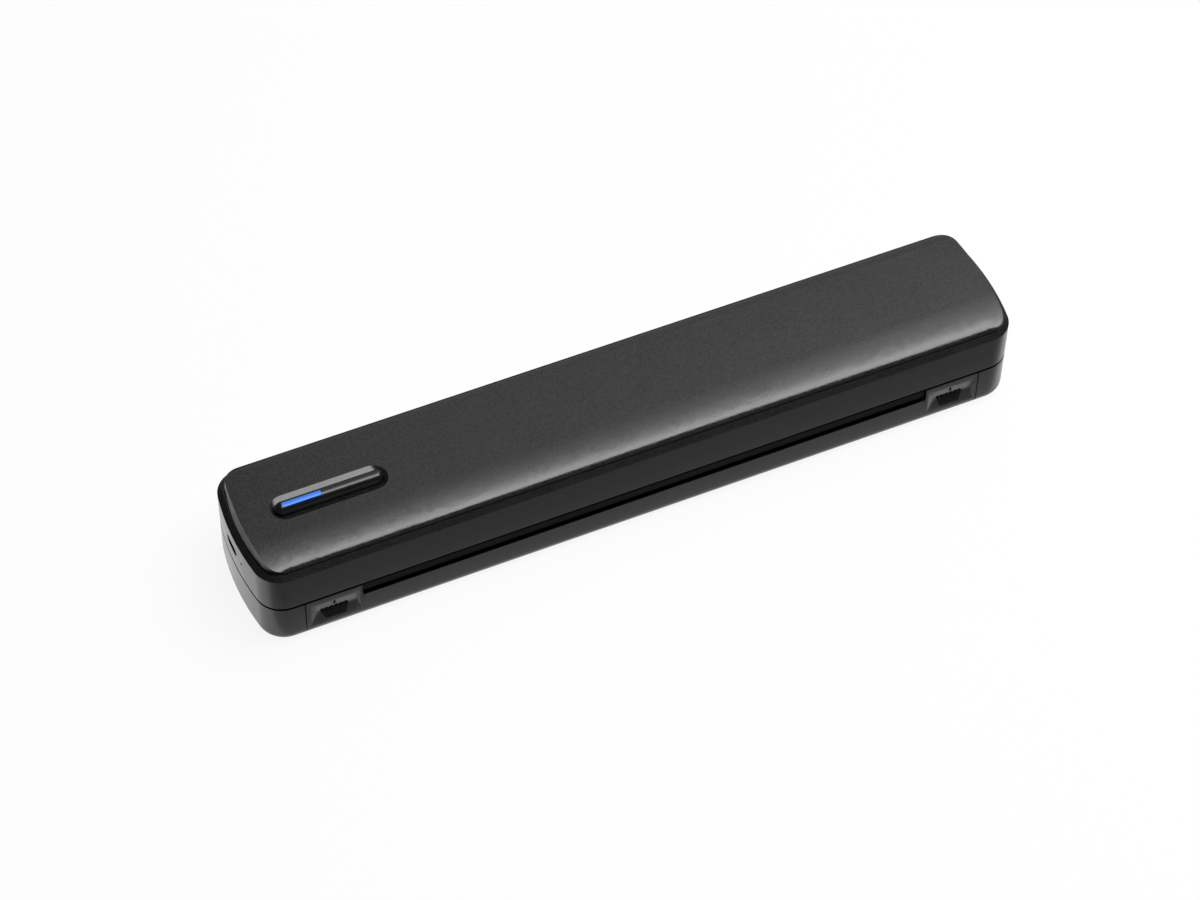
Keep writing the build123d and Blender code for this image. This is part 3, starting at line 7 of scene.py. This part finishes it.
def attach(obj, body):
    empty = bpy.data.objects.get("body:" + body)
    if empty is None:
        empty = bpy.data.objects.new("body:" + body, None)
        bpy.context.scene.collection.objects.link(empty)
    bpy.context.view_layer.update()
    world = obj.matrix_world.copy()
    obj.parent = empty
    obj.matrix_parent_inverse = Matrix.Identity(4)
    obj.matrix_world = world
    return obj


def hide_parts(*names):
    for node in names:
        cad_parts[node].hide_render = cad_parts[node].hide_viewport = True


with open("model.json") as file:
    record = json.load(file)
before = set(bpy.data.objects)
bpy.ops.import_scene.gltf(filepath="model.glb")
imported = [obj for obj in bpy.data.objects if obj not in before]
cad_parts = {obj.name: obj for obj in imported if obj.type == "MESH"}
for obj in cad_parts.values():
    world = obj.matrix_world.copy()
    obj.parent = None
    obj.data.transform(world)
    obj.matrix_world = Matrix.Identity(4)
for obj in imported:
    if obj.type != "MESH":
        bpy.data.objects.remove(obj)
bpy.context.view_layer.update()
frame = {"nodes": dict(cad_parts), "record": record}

# Portable thermal printer. Metres, same frame as the CAD: +X along the casing, paper leaves at -Y.
print("frame loaded:", len(frame["nodes"]), "nodes")

scene = bpy.context.scene
scene.view_settings.view_transform = "Standard"
record = frame["record"]
slotOfNode = {part["node"]: part["material_slot"] for part in record["subparts"]}
slotColour = {entry["slot"]: tuple(entry["base_color"][:3]) for entry in record["materials"]}
bodyOfNode = {node: body for body, nodes in record["behaviour"]["bodies"].items() for node in nodes}


def deselectAll():
    bpy.ops.object.select_all(action="DESELECT")


def makeActive(piece):
    deselectAll()
    piece.select_set(True)
    bpy.context.view_layer.objects.active = piece


# Node helpers: an output is linked to a socket, a number or a colour is set on it
def wire(tree, value, socket):
    if isinstance(value, bpy.types.NodeSocket):
        tree.links.new(value, socket)
    else:
        socket.default_value = value


def mathNode(tree, operation, first, second=0.0, clamp=False):
    node = tree.nodes.new("ShaderNodeMath")
    node.operation = operation
    node.use_clamp = clamp
    wire(tree, first, node.inputs[0])
    wire(tree, second, node.inputs[1])
    return node.outputs[0]


def vectorNode(tree, operation, first, second=(0.0, 0.0, 0.0)):
    node = tree.nodes.new("ShaderNodeVectorMath")
    node.operation = operation
    wire(tree, first, node.inputs[0])
    wire(tree, second, node.inputs[1])
    return node.outputs


def axes(tree, vector):
    node = tree.nodes.new("ShaderNodeSeparateXYZ")
    wire(tree, vector, node.inputs[0])
    return node.outputs


def ranged(tree, source, given, wanted=(0.0, 1.0)):
    # one range of values turned into another, and held at its ends
    node = tree.nodes.new("ShaderNodeMapRange")
    for label, value in zip(("From Min", "From Max", "To Min", "To Max"), (*given, *wanted)):
        wire(tree, value, node.inputs[label])
    wire(tree, source, node.inputs["Value"])
    return node.outputs[0]


def mixed(tree, kind, factor, start, finish):
    # kind is FLOAT for numbers and RGBA for colours
    node = tree.nodes.new("ShaderNodeMix")
    node.data_type = kind
    for label, value in (("Factor", factor), ("A", start), ("B", finish)):
        wire(tree, value, node.inputs[label])
    return node.outputs["Result"]


def noise(tree, vector, scale, detail=2.0, roughness=0.5):
    node = tree.nodes.new("ShaderNodeTexNoise")
    for label, value in (("Vector", vector), ("Scale", scale), ("Detail", detail), ("Roughness", roughness)):
        wire(tree, value, node.inputs[label])
    return node.outputs["Fac"]


# Shared effects: node groups that any material can place with its own values
def newGroup(name, values, results):
    # each group takes a vector and named numbers, and puts out masks or heights
    group = bpy.data.node_groups.new(name, "ShaderNodeTree")
    group.interface.new_socket(name="Vector", in_out="INPUT", socket_type="NodeSocketVector")
    for label, value in values.items():
        socket = group.interface.new_socket(name=label, in_out="INPUT", socket_type="NodeSocketFloat")
        socket.default_value = value
    for label in results:
        group.interface.new_socket(name=label, in_out="OUTPUT", socket_type="NodeSocketFloat")
    return group, group.nodes.new("NodeGroupInput").outputs, group.nodes.new("NodeGroupOutput").inputs


def placedGroup(tree, group, vector, values):
    node = tree.nodes.new("ShaderNodeGroup")
    node.node_tree = group
    wire(tree, vector, node.inputs["Vector"])
    for label, value in values.items():
        wire(tree, value, node.inputs[label])
    return node.outputs


grainSettings = {"pitDetail": 3.0, "pitRoughness": 0.6, "fleckRange": (0.41, 0.59), "mottleRange": (0.3, 0.7)}


def makeSparkGrain(settings):
    # spark-eroded mould texture: fine pits over a broader, fainter cloud
    group, given, result = newGroup("sparkGrain", {"Pits": 3200.0, "Cloud": 90.0, "Depth": 1.0},
                                    ("Height", "Fleck", "Mottle"))
    pits = noise(group, given["Vector"], given["Pits"], settings["pitDetail"], settings["pitRoughness"])
    cloud = noise(group, given["Vector"], given["Cloud"])
    wire(group, mathNode(group, "MULTIPLY", pits, given["Depth"]), result["Height"])
    wire(group, ranged(group, pits, settings["fleckRange"]), result["Fleck"])
    wire(group, ranged(group, cloud, settings["mottleRange"]), result["Mottle"])
    return group


brushSettings = {"stretch": (0.03, 1.0, 1.0)}


def makeBrushLines(settings):
    # long scratches along one axis, as rolling or brushing leaves them
    group, given, result = newGroup("brushLines", {"Lines": 900.0}, ("Height",))
    stretched = vectorNode(group, "MULTIPLY", given["Vector"], settings["stretch"])["Vector"]
    wire(group, noise(group, stretched, given["Lines"]), result["Height"])
    return group


def makeHeightBand():
    # 1 between two heights of the part, falling to 0 over a soft edge
    group, given, result = newGroup("heightBand", {"Low": 0.0, "High": 1.0, "Soft": 0.0001}, ("Mask",))
    height = axes(group, given["Vector"])["Z"]
    above = mathNode(group, "SUBTRACT", height, given["Low"])
    below = mathNode(group, "SUBTRACT", given["High"], height)
    eased = [mathNode(group, "DIVIDE", gap, given["Soft"], clamp=True) for gap in (above, below)]
    wire(group, mathNode(group, "MULTIPLY", *eased), result["Mask"])
    return group


sparkGrain = makeSparkGrain(grainSettings)
brushLines = makeBrushLines(brushSettings)
heightBand = makeHeightBand()


# Finishes
def startMaterial(name, colour, roughness):
    material = bpy.data.materials.new(name)
    material.use_nodes = True
    tree = material.node_tree
    shader = tree.nodes["Principled BSDF"]
    shader.inputs["Base Color"].default_value = (*colour, 1.0)
    shader.inputs["Roughness"].default_value = roughness
    return material, tree, shader, tree.nodes.new("ShaderNodeTexCoord").outputs["Object"]


def addBump(tree, shader, height, strength, distance):
    bump = tree.nodes.new("ShaderNodeBump")
    for label, value in (("Height", height), ("Strength", strength), ("Distance", distance)):
        wire(tree, value, bump.inputs[label])
    wire(tree, bump.outputs["Normal"], shader.inputs["Normal"])


def unevenGloss(tree, mask, roughness, spread):
    return ranged(tree, mask, (0.0, 1.0), (roughness + spread[0], roughness + spread[1]))


def tinted(tree, mask, colour, lift):
    # base colour that drifts between the colour and a lifted copy of it
    lifted = [min(1.0, part * lift) for part in colour]
    return mixed(tree, "RGBA", mask, (*colour, 1.0), (*lifted, 1.0))


# gaps between mouldings get painted shade, bands of matt black where the gap's depth would fall dark; bottom
# sets where an upright gap starts, under the part
gapShadeSettings = {"colour": (0.001, 0.001, 0.001, 1.0), "roughness": 0.9, "soft": 0.0001, "uprightSoft": 0.00006,
               "bottom": -1.0}
plasticSettings = {"bumpStrength": 0.5, "bumpDistance": 0.00006, "glossSpread": (-0.02, 0.03)}
metalSettings = {"bumpStrength": 0.25, "bumpDistance": 0.00004, "glossSpread": (-0.06, 0.08)}
# the rear edge of the lit strip carries painted shade in a dark blue
stripSettings = {"colour": (0.002, 0.006, 0.02), "roughness": 0.3, "cloud": 260.0,
                 "lit": (0.006, 0.175, 0.90), "lift": 1.12, "rearShadeColour": (0.002, 0.01, 0.04, 1.0),
                 "rearShadeEdge": (0.00035, 0.0006), "strength": 1.0}


def bandMask(tree, vector, low, high, soft):
    return placedGroup(tree, heightBand, vector, {"Low": low, "High": high, "Soft": soft})["Mask"]


def uprightBand(tree, place, low, high, top):
    # the same painted shade band laid across the length, on both ends alike, and only below a height
    laid = tree.nodes.new("ShaderNodeCombineXYZ")
    wire(tree, mathNode(tree, "ABSOLUTE", axes(tree, place)["X"]), laid.inputs["Z"])
    across = bandMask(tree, laid.outputs[0], low, high, gapShadeSettings["uprightSoft"])
    under = bandMask(tree, place, gapShadeSettings["bottom"], top, gapShadeSettings["soft"])
    return mathNode(tree, "MULTIPLY", across, under)


def mouldedPlastic(name, colour, roughness, specular=0.5, ior=1.5, pits=3200.0, depth=1.0, lift=1.08,
                   seamShades=(), uprightGapShades=()):
    material, tree, shader, place = startMaterial(name, colour, roughness)
    shader.inputs["Specular IOR Level"].default_value = specular
    shader.inputs["IOR"].default_value = ior
    grain = placedGroup(tree, sparkGrain, place, {"Pits": pits, "Depth": depth})
    addBump(tree, shader, grain["Height"], plasticSettings["bumpStrength"], plasticSettings["bumpDistance"])
    gloss = unevenGloss(tree, grain["Mottle"], roughness, plasticSettings["glossSpread"])
    paint = tinted(tree, grain["Fleck"], colour, lift)
    shadeMasks = [bandMask(tree, place, low, high, gapShadeSettings["soft"]) for low, high in seamShades]
    shadeMasks += [uprightBand(tree, place, *band) for band in uprightGapShades]
    # painted shade: inside the gaps the colour turns black, rough and metallic, so that no light shows there
    if shadeMasks:
        gap = shadeMasks[0]
        for other in shadeMasks[1:]:
            gap = mathNode(tree, "MAXIMUM", gap, other)
        gloss = mixed(tree, "FLOAT", gap, gloss, gapShadeSettings["roughness"])
        paint = mixed(tree, "RGBA", gap, paint, gapShadeSettings["colour"])
        wire(tree, gap, shader.inputs["Metallic"])
    wire(tree, gloss, shader.inputs["Roughness"])
    wire(tree, paint, shader.inputs["Base Color"])
    return material


def workedMetal(name, colour, roughness, lines=900.0):
    material, tree, shader, place = startMaterial(name, colour, roughness)
    shader.inputs["Metallic"].default_value = 1.0
    scratches = placedGroup(tree, brushLines, place, {"Lines": lines})["Height"]
    addBump(tree, shader, scratches, metalSettings["bumpStrength"], metalSettings["bumpDistance"])
    wire(tree, unevenGloss(tree, scratches, roughness, metalSettings["glossSpread"]),
         shader.inputs["Roughness"])
    return material


def litStrip(name, settings):
    # diffusing bar with a lamp behind it, with painted shade darkening the glow along its rear edge
    material, tree, shader, place = startMaterial(name, settings["colour"], settings["roughness"])
    glow = tinted(tree, noise(tree, place, settings["cloud"]), settings["lit"], settings["lift"])
    rear = ranged(tree, axes(tree, place)["Y"], settings["rearShadeEdge"])
    wire(tree, mixed(tree, "RGBA", rear, glow, settings["rearShadeColour"]), shader.inputs["Emission Color"])
    shader.inputs["Emission Strength"].default_value = settings["strength"]
    return material


materials = {
    # painted shade in the parting gap all round, and in the cover's upright seams at both ends
    "case_grey": mouldedPlastic("caseGrey", (0.0062, 0.0063, 0.0065), 0.22, ior=1.58, pits=1500.0, lift=2.3,
                                seamShades=((0.01862, 0.01972),), uprightGapShades=((0.12895, 0.12935, 0.0187),)),
    "panel_grey": mouldedPlastic("panelGrey", (0.0050, 0.0051, 0.0053), 0.22, ior=1.58, pits=1300.0,
                                 depth=1.8, lift=3.4),
    "button_grey": mouldedPlastic("buttonGrey", (0.0080, 0.0081, 0.0084), 0.18, pits=1500.0, depth=0.15),
    "light_strip": litStrip("litStripBlue", stripSettings),
    "grip_rubber": mouldedPlastic("gripRubber", (0.0062, 0.0062, 0.0065), 0.75, specular=0.18),
    "roller_rubber": mouldedPlastic("rollerRubber", (0.025, 0.025, 0.027), 0.7, specular=0.3, pits=2400.0),
    # painted shade: the blade's top band, under the overhang of the upper case, is painted black
    "dark_steel": mouldedPlastic("blackenedSteel", (0.002, 0.002, 0.0022), 0.5, specular=0.15, pits=2000.0,
                                 depth=0.5, seamShades=((0.01765, 0.0190),)),
    "bright_steel": workedMetal("platedSteel", slotColour["bright_steel"], 0.32),
    "motor_steel": workedMetal("drawnSteel", slotColour["motor_steel"], 0.36, lines=1400.0),
    "screw_steel": mouldedPlastic("blackScrewSteel", (0.05, 0.05, 0.054), 0.35, pits=1800.0, depth=0.4),
    "aluminium": workedMetal("extrudedAluminium", slotColour["aluminium"], 0.38, lines=700.0),
    "ceramic_white": mouldedPlastic("glazedCeramic", slotColour["ceramic_white"], 0.2, pits=1200.0,
                                    depth=0.15),
    "circuit_green": mouldedPlastic("solderMask", slotColour["circuit_green"], 0.3, pits=900.0, depth=0.4),
    "black_plastic": mouldedPlastic("blackPlastic", slotColour["black_plastic"], 0.5),
    "white_plastic": mouldedPlastic("whitePlastic", slotColour["white_plastic"], 0.45, pits=1400.0,
                                    depth=0.3),
    "brass": workedMetal("turnedBrass", slotColour["brass"], 0.3, lines=1200.0),
    "cable_amber": mouldedPlastic("amberFilm", slotColour["cable_amber"], 0.28, pits=900.0, depth=0.2),
    "cell_wrap": mouldedPlastic("shrinkFilm", slotColour["cell_wrap"], 0.25, pits=500.0, depth=0.3),
    "lamp_white": mouldedPlastic("clearLamp", slotColour["lamp_white"], 0.2, pits=900.0, depth=0.2),
}
for node, piece in frame["nodes"].items():
    piece.data.materials.clear()
    piece.data.materials.append(materials[slotOfNode[node]])
print("materials placed:", len(materials))

# Visible shells: merged copies of the CAD skins, with small changes of form and broken edges
dishSettings = {"middle": -0.10915, "reach": 0.0216, "half": 0.0054, "rim": 0.0402, "foot": 0.0391,
                "slopes": (0.5, 0.98), "margin": 0.00002, "sink": 0.00025, "steps": 5}
scoopSettings = {"middle": 0.1184, "half": 0.0093, "low": 0.0056, "high": 0.0166, "face": -0.026,
                 "back": -0.0233, "least": 0.00001, "deep": 0.0022, "keep": 0.5, "raise": 0.0014,
                 "steeper": 0.25}
bladeSettings = {"tip": 0.0137, "tipRaise": 0.0006, "root": 0.01455, "rootRaise": 0.00095, "near": 0.0002,
                 "front": -0.0235}
cornerSettings = {"centre": (0.1328, 0.016), "fullSize": 0.0082, "swell": 0.10, "turn": 75.0,
                  "sole": 0.0364}
shellSettings = {"rounds": {"top_panel": 0.0, "upper_case": 0.00015, "lower_case": 0.00015,
                            "front_cover": 0.00018, "power_button": 0.0, "grip_pads": 0.00004,
                            "tear_bar": 0.00003},
                 "segments": 2, "edgeAngle": 28.0, "weld": 0.000004}


def smoothedDish(shell, settings):
    # the dish's wall is laid again in narrow steps from rim to foot, with the foot a little lower
    mesh = shell.data
    rim, foot, margin = settings["rim"], settings["foot"], settings["margin"]
    steepest, flattest = settings["slopes"]

    def inDish(point):
        return abs(point.x - settings["middle"]) < settings["reach"] and abs(point.y) < settings["half"]

    makeActive(shell)
    bpy.ops.object.mode_set(mode="EDIT")
    bpy.ops.mesh.select_all(action="DESELECT")
    bpy.ops.mesh.select_mode(type="FACE")
    bpy.ops.object.mode_set(mode="OBJECT")
    for face in mesh.polygons:
        heights = [mesh.vertices[index].co.z for index in face.vertices]
        onWall = min(heights) > foot - margin and max(heights) < rim + margin
        face.select = inDish(face.center) and onWall and steepest < face.normal.z < flattest
    bpy.ops.object.mode_set(mode="EDIT")
    bpy.ops.mesh.delete(type="FACE")
    bpy.ops.mesh.select_mode(type="VERT")
    bpy.ops.mesh.select_all(action="DESELECT")
    bpy.ops.object.mode_set(mode="OBJECT")
    for vertex in mesh.vertices:
        vertex.select = inDish(vertex.co) and abs(vertex.co.z - foot) < margin
    bpy.ops.object.mode_set(mode="EDIT")
    bpy.ops.transform.translate(value=(0, 0, -settings["sink"]))
    bpy.ops.mesh.select_all(action="DESELECT")
    bpy.ops.mesh.select_non_manifold(extend=False, use_wire=False, use_boundary=True, use_multi_face=False,
                                     use_non_contiguous=False, use_verts=False)
    bpy.ops.mesh.bridge_edge_loops(number_cuts=settings["steps"])
    bpy.ops.object.mode_set(mode="OBJECT")


def shallowScoops(shell, settings, onPads):
    # the scoops as the photograph shows them: less deep, their lowest line higher up
    for vertex in shell.data.vertices:
        point = vertex.co
        depth = point.y - settings["face"]
        inWidth = abs(abs(point.x) - settings["middle"]) < settings["half"]
        inDepth = depth > settings["least"] and point.y < settings["back"]
        if inWidth and inDepth and settings["low"] < point.z < settings["high"]:
            share = depth / settings["deep"]
            point.z += settings["raise"] * share
            point.y = settings["face"] + depth * settings["keep"]
            across = point.x - math.copysign(settings["middle"], point.x)
            if across > 0 and not onPads:
                point.x += settings["steeper"] * share * across


def longerTeeth(shell, settings):
    # roots go up further than tips, so the saw edge is as coarse as in the photograph
    levels = ((settings["tip"], settings["tipRaise"]), (settings["root"], settings["rootRaise"]))
    for vertex in shell.data.vertices:
        point = vertex.co
        for level, rise in levels:
            if abs(point.z - level) < settings["near"] and point.y < settings["front"]:
                point.z += rise
                break


def squarerCorners(shell, settings):
    # the panel's two front corners are pushed out along their own arcs
    for vertex in shell.data.vertices:
        point = vertex.co
        if point.z < settings["sole"]:
            continue
        across = abs(point.x) - settings["centre"][0]
        along = -point.y - settings["centre"][1]
        angle = math.degrees(math.atan2(across, along))
        if across > 0 and along > 0 and angle < settings["turn"]:
            size = min(1.0, math.hypot(across, along) / settings["fullSize"])
            wave = math.sin(math.radians(angle * 180 / settings["turn"])) ** 2
            grow = settings["swell"] * wave * size * size
            point.x += math.copysign(across * grow, point.x)
            point.y -= along * grow


def brokenEdges(shell, width, settings):
    bevel = shell.modifiers.new("edgeRound", "BEVEL")
    bevel.width = width
    bevel.segments = settings["segments"]
    bevel.limit_method = "ANGLE"
    bevel.angle_limit = math.radians(settings["edgeAngle"])
    bevel.use_clamp_overlap = True
    bpy.ops.object.modifier_apply(modifier=bevel.name)


def dressedShell(node, settings):
    source = frame["nodes"][node]
    shell = source.copy()
    shell.data = source.data.copy()
    shell.name = node + "_skin"
    shell.parent = None
    for key in list(shell.keys()):
        del shell[key]
    scene.collection.objects.link(shell)
    makeActive(shell)
    bpy.ops.object.mode_set(mode="EDIT")
    bpy.ops.mesh.select_all(action="SELECT")
    bpy.ops.mesh.remove_doubles(threshold=settings["weld"])
    bpy.ops.mesh.customdata_custom_splitnormals_clear()
    bpy.ops.object.mode_set(mode="OBJECT")
    if node == "top_panel":
        smoothedDish(shell, dishSettings)
        squarerCorners(shell, cornerSettings)
    if node == "tear_bar":
        longerTeeth(shell, bladeSettings)
    if node in ("front_cover", "grip_pads"):
        shallowScoops(shell, scoopSettings, node == "grip_pads")
    if settings["rounds"][node]:
        brokenEdges(shell, settings["rounds"][node], settings)
    if node == "front_cover":
        # the broken scoop edges stay behind the cover's own front
        for vertex in shell.data.vertices:
            vertex.co.y = max(vertex.co.y, scoopSettings["face"])
    bpy.ops.object.shade_smooth_by_angle(angle=math.radians(settings["edgeAngle"]))
    even = shell.modifiers.new("evenShade", "WEIGHTED_NORMAL")
    even.keep_sharp = True
    bpy.ops.object.modifier_apply(modifier=even.name)
    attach(shell, bodyOfNode[node])
    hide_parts(node)


for node in shellSettings["rounds"]:
    dressedShell(node, shellSettings)
print("shells dressed:", len(shellSettings["rounds"]))

# Raised marks in the scoops: a pointer, and below it a rib with a comb of nubs on top
markSettings = {"middle": 0.1184, "ribSize": (0.0102, 0.00040, 0.00030), "ribPlace": (-0.02515, 0.01045),
                "nubOffsets": (-0.0044, -0.0027, -0.0010, 0.0009, 0.0026, 0.0043), "nubRadius": 0.00042,
                "nubTip": 0.45, "nubRise": 0.00055, "nubSides": 10, "pointerSides": 3,
                "pointerRadius": 0.0013, "pointerScale": (0.5, 1, 1), "pointerPlace": (-0.02549, 0.01405),
                "pointerLean": 12.4, "pointerProud": 0.00025, "edgeRound": 0.00005, "segments": 2,
                "smoothAngle": 40.0}


def makeScoopMark(side, settings):
    middle = side * settings["middle"]
    deselectAll()
    ribY, ribZ = settings["ribPlace"]
    bpy.ops.mesh.primitive_cube_add(size=1, location=(middle, ribY, ribZ), scale=settings["ribSize"])
    parts = [bpy.context.object]
    for offset in settings["nubOffsets"]:
        bpy.ops.mesh.primitive_cone_add(
            vertices=settings["nubSides"], radius1=settings["nubRadius"],
            radius2=settings["nubRadius"] * settings["nubTip"], depth=settings["nubRise"] * 2,
            location=(middle + offset, ribY, ribZ + settings["nubRise"]))
        parts.append(bpy.context.object)
    pointerY, pointerZ = settings["pointerPlace"]
    bpy.ops.mesh.primitive_cylinder_add(
        vertices=settings["pointerSides"], radius=settings["pointerRadius"],
        depth=settings["pointerProud"] * 2,
        location=(middle, pointerY, pointerZ), scale=settings["pointerScale"],
        rotation=(math.radians(90 + settings["pointerLean"]), 0, 0))
    parts.append(bpy.context.object)
    for part in parts:
        part.select_set(True)
    bpy.context.view_layer.objects.active = parts[0]
    bpy.ops.object.join()
    mark = bpy.context.object
    bpy.ops.object.transform_apply(location=True, rotation=True, scale=True)
    mark.name = "scoop_mark_" + ("left" if side < 0 else "right")
    soften = mark.modifiers.new("soften", "BEVEL")
    soften.width = settings["edgeRound"]
    soften.segments = settings["segments"]
    bpy.ops.object.modifier_apply(modifier=soften.name)
    bpy.ops.object.shade_smooth_by_angle(angle=math.radians(settings["smoothAngle"]))
    mark.data.materials.append(materials["grip_rubber"])
    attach(mark, "cover")


for side in (-1, 1):
    makeScoopMark(side, markSettings)
print("scoop marks placed")

# Studio: a pale floor that shows white, and soft boxes from low behind, over the top, to the front
floorSettings = {"half": 3.0, "colour": (0.86, 0.86, 0.86), "roughness": 0.9, "paperScale": 40.0,
                 "paperStrength": 0.05, "paperDistance": 0.0002, "whiteShare": 0.9,
                 "frontShadowRange": (-0.045, -0.005), "frontShadowDim": 0.27, "footRange": (-0.0318, -0.0284),
                 "footprint": (0.145, 0.026, 1.0), "poolRange": (0.03, 0.075), "poolDim": 0.12}
roomSettings = {"glow": 0.06}
boxAim = (0.0, 0.0, 0.03)  # the point that every box faces
# each box spans a range of angles, measured up from the rear horizon, over the top and down to the front
boxSettings = {
    "frontBox": {"span": (94, 120), "side": 0.323, "distance": 1.3, "width": 1.15, "radiance": 6.1},
    "topBox": {"span": (83, 94), "side": 0.323, "distance": 1.3, "width": 1.15, "radiance": 4.2},
    "upperRearBox": {"span": (72, 83), "side": 0.346, "distance": 1.3, "width": 1.1, "radiance": 2.2},
    "highRearBox": {"span": (60, 72), "side": 0.392, "distance": 1.3, "width": 1.1, "radiance": 1.0},
    "sideBox": {"span": (58, 92), "side": 0.784, "distance": 1.3, "width": 0.9, "radiance": 0.62},
    "rearBox": {"span": (8, 60), "side": 0.577, "distance": 1.6, "width": 1.6, "radiance": 0.55},
}
plainWhite = (1.0, 1.0, 1.0, 1.0)


def makeFloor(settings):
    deselectAll()
    bpy.ops.mesh.primitive_plane_add(size=2 * settings["half"], location=(0, 0, 0))
    floor = bpy.context.object
    floor.name = "studioFloor"
    paint, tree, shader, place = startMaterial("studioFloorPaint", settings["colour"], settings["roughness"])
    addBump(tree, shader, noise(tree, place, settings["paperScale"]), settings["paperStrength"],
            settings["paperDistance"])
    # painted light: rays that mirror the floor see it glow white as a pool near the object, with painted
    # shadow dimming it in front, and dimmer far out
    forward = axes(tree, place)["Y"]
    front = ranged(tree, forward, settings["frontShadowRange"], (settings["frontShadowDim"], 1.0))
    foot = ranged(tree, forward, settings["footRange"])
    clear = vectorNode(tree, "SUBTRACT", vectorNode(tree, "ABSOLUTE", place)["Vector"],
                       settings["footprint"])["Vector"]
    outside = vectorNode(tree, "MAXIMUM", clear)["Vector"]
    reach = vectorNode(tree, "LENGTH", outside)["Value"]
    far = ranged(tree, reach, settings["poolRange"], (1.0, settings["poolDim"]))
    pool = mathNode(tree, "MULTIPLY", mathNode(tree, "MAXIMUM", front, foot), far)
    rays = tree.nodes.new("ShaderNodeLightPath").outputs
    mirrored = mathNode(tree, "ADD", rays["Is Glossy Ray"], rays["Is Transmission Ray"], clamp=True)
    direct = mathNode(tree, "MULTIPLY", rays["Is Camera Ray"], settings["whiteShare"])
    white = tree.nodes.new("ShaderNodeEmission")
    white.inputs["Color"].default_value = plainWhite
    wire(tree, mixed(tree, "FLOAT", mirrored, 1.0, pool), white.inputs["Strength"])
    blend = tree.nodes.new("ShaderNodeMixShader")
    wire(tree, mathNode(tree, "ADD", direct, mirrored, clamp=True), blend.inputs[0])
    wire(tree, shader.outputs[0], blend.inputs[1])
    wire(tree, white.outputs[0], blend.inputs[2])
    wire(tree, blend.outputs[0], tree.nodes["Material Output"].inputs["Surface"])
    floor.data.materials.append(paint)


def makeRoom(settings):
    # seen white, but only a faint glow lights and mirrors in the object
    world = bpy.data.worlds.new("studioWorld")
    scene.world = world
    world.use_nodes = True
    tree = world.node_tree
    rays = tree.nodes.new("ShaderNodeLightPath").outputs
    seen = mathNode(tree, "ADD", rays["Is Camera Ray"], rays["Is Transmission Ray"], clamp=True)
    back = tree.nodes["Background"]
    back.inputs["Color"].default_value = plainWhite
    wire(tree, mixed(tree, "FLOAT", seen, settings["glow"], 1.0), back.inputs["Strength"])


def softBox(name, settings):
    low, high = (math.radians(angle) for angle in settings["span"])
    middle = (low + high) / 2
    light = bpy.data.lights.new(name, "AREA")
    light.shape = "RECTANGLE"
    light.size = settings["width"]
    light.size_y = 2 * settings["distance"] * math.tan((high - low) / 2)
    light.energy = settings["radiance"] * math.pi * light.size * light.size_y
    lamp = bpy.data.objects.new(name, light)
    scene.collection.objects.link(lamp)
    direction = Vector((settings["side"], math.cos(middle), math.sin(middle))).normalized()
    lamp.location = Vector(boxAim) + direction * settings["distance"]
    # the box's width lies along the casing as nearly as its direction allows
    across = (Vector((1, 0, 0)) - direction * direction.x).normalized()
    lamp.rotation_euler = Matrix((across, direction.cross(across), direction)).transposed().to_euler()


makeFloor(floorSettings)
makeRoom(roomSettings)
for name, settings in boxSettings.items():
    softBox(name, settings)
print("studio set")

# Camera from the photograph's own perspective: angles in degrees, lens and sensor in millimetres
cameraSettings = {"azimuth": -24.8957, "elevation": 51.3413, "roll": 1.1092, "lens": 111.7693,
                  "sensor": 36.0, "target": (-0.0101887, -0.0052986, 0.020), "distance": 1.3084104}


def placeCamera(settings):
    data = bpy.data.cameras.new("photoCamera")
    data.sensor_width = settings["sensor"]
    data.lens = settings["lens"]
    camera = bpy.data.objects.new("photoCamera", data)
    scene.collection.objects.link(camera)
    azimuth, elevation, roll = (math.radians(settings[key]) for key in ("azimuth", "elevation", "roll"))
    right = Vector((math.cos(azimuth), math.sin(azimuth), 0))
    back = Vector((math.sin(azimuth) * math.cos(elevation), -math.cos(azimuth) * math.cos(elevation),
                   math.sin(elevation)))
    up = back.cross(right)
    turnedRight = math.cos(roll) * right + math.sin(roll) * up
    turnedUp = math.cos(roll) * up - math.sin(roll) * right
    turn = Matrix((turnedRight, turnedUp, back)).transposed().to_4x4()
    camera.matrix_world = Matrix.Translation(Vector(settings["target"]) + back * settings["distance"]) @ turn
    scene.camera = camera


placeCamera(cameraSettings)
print("camera placed")
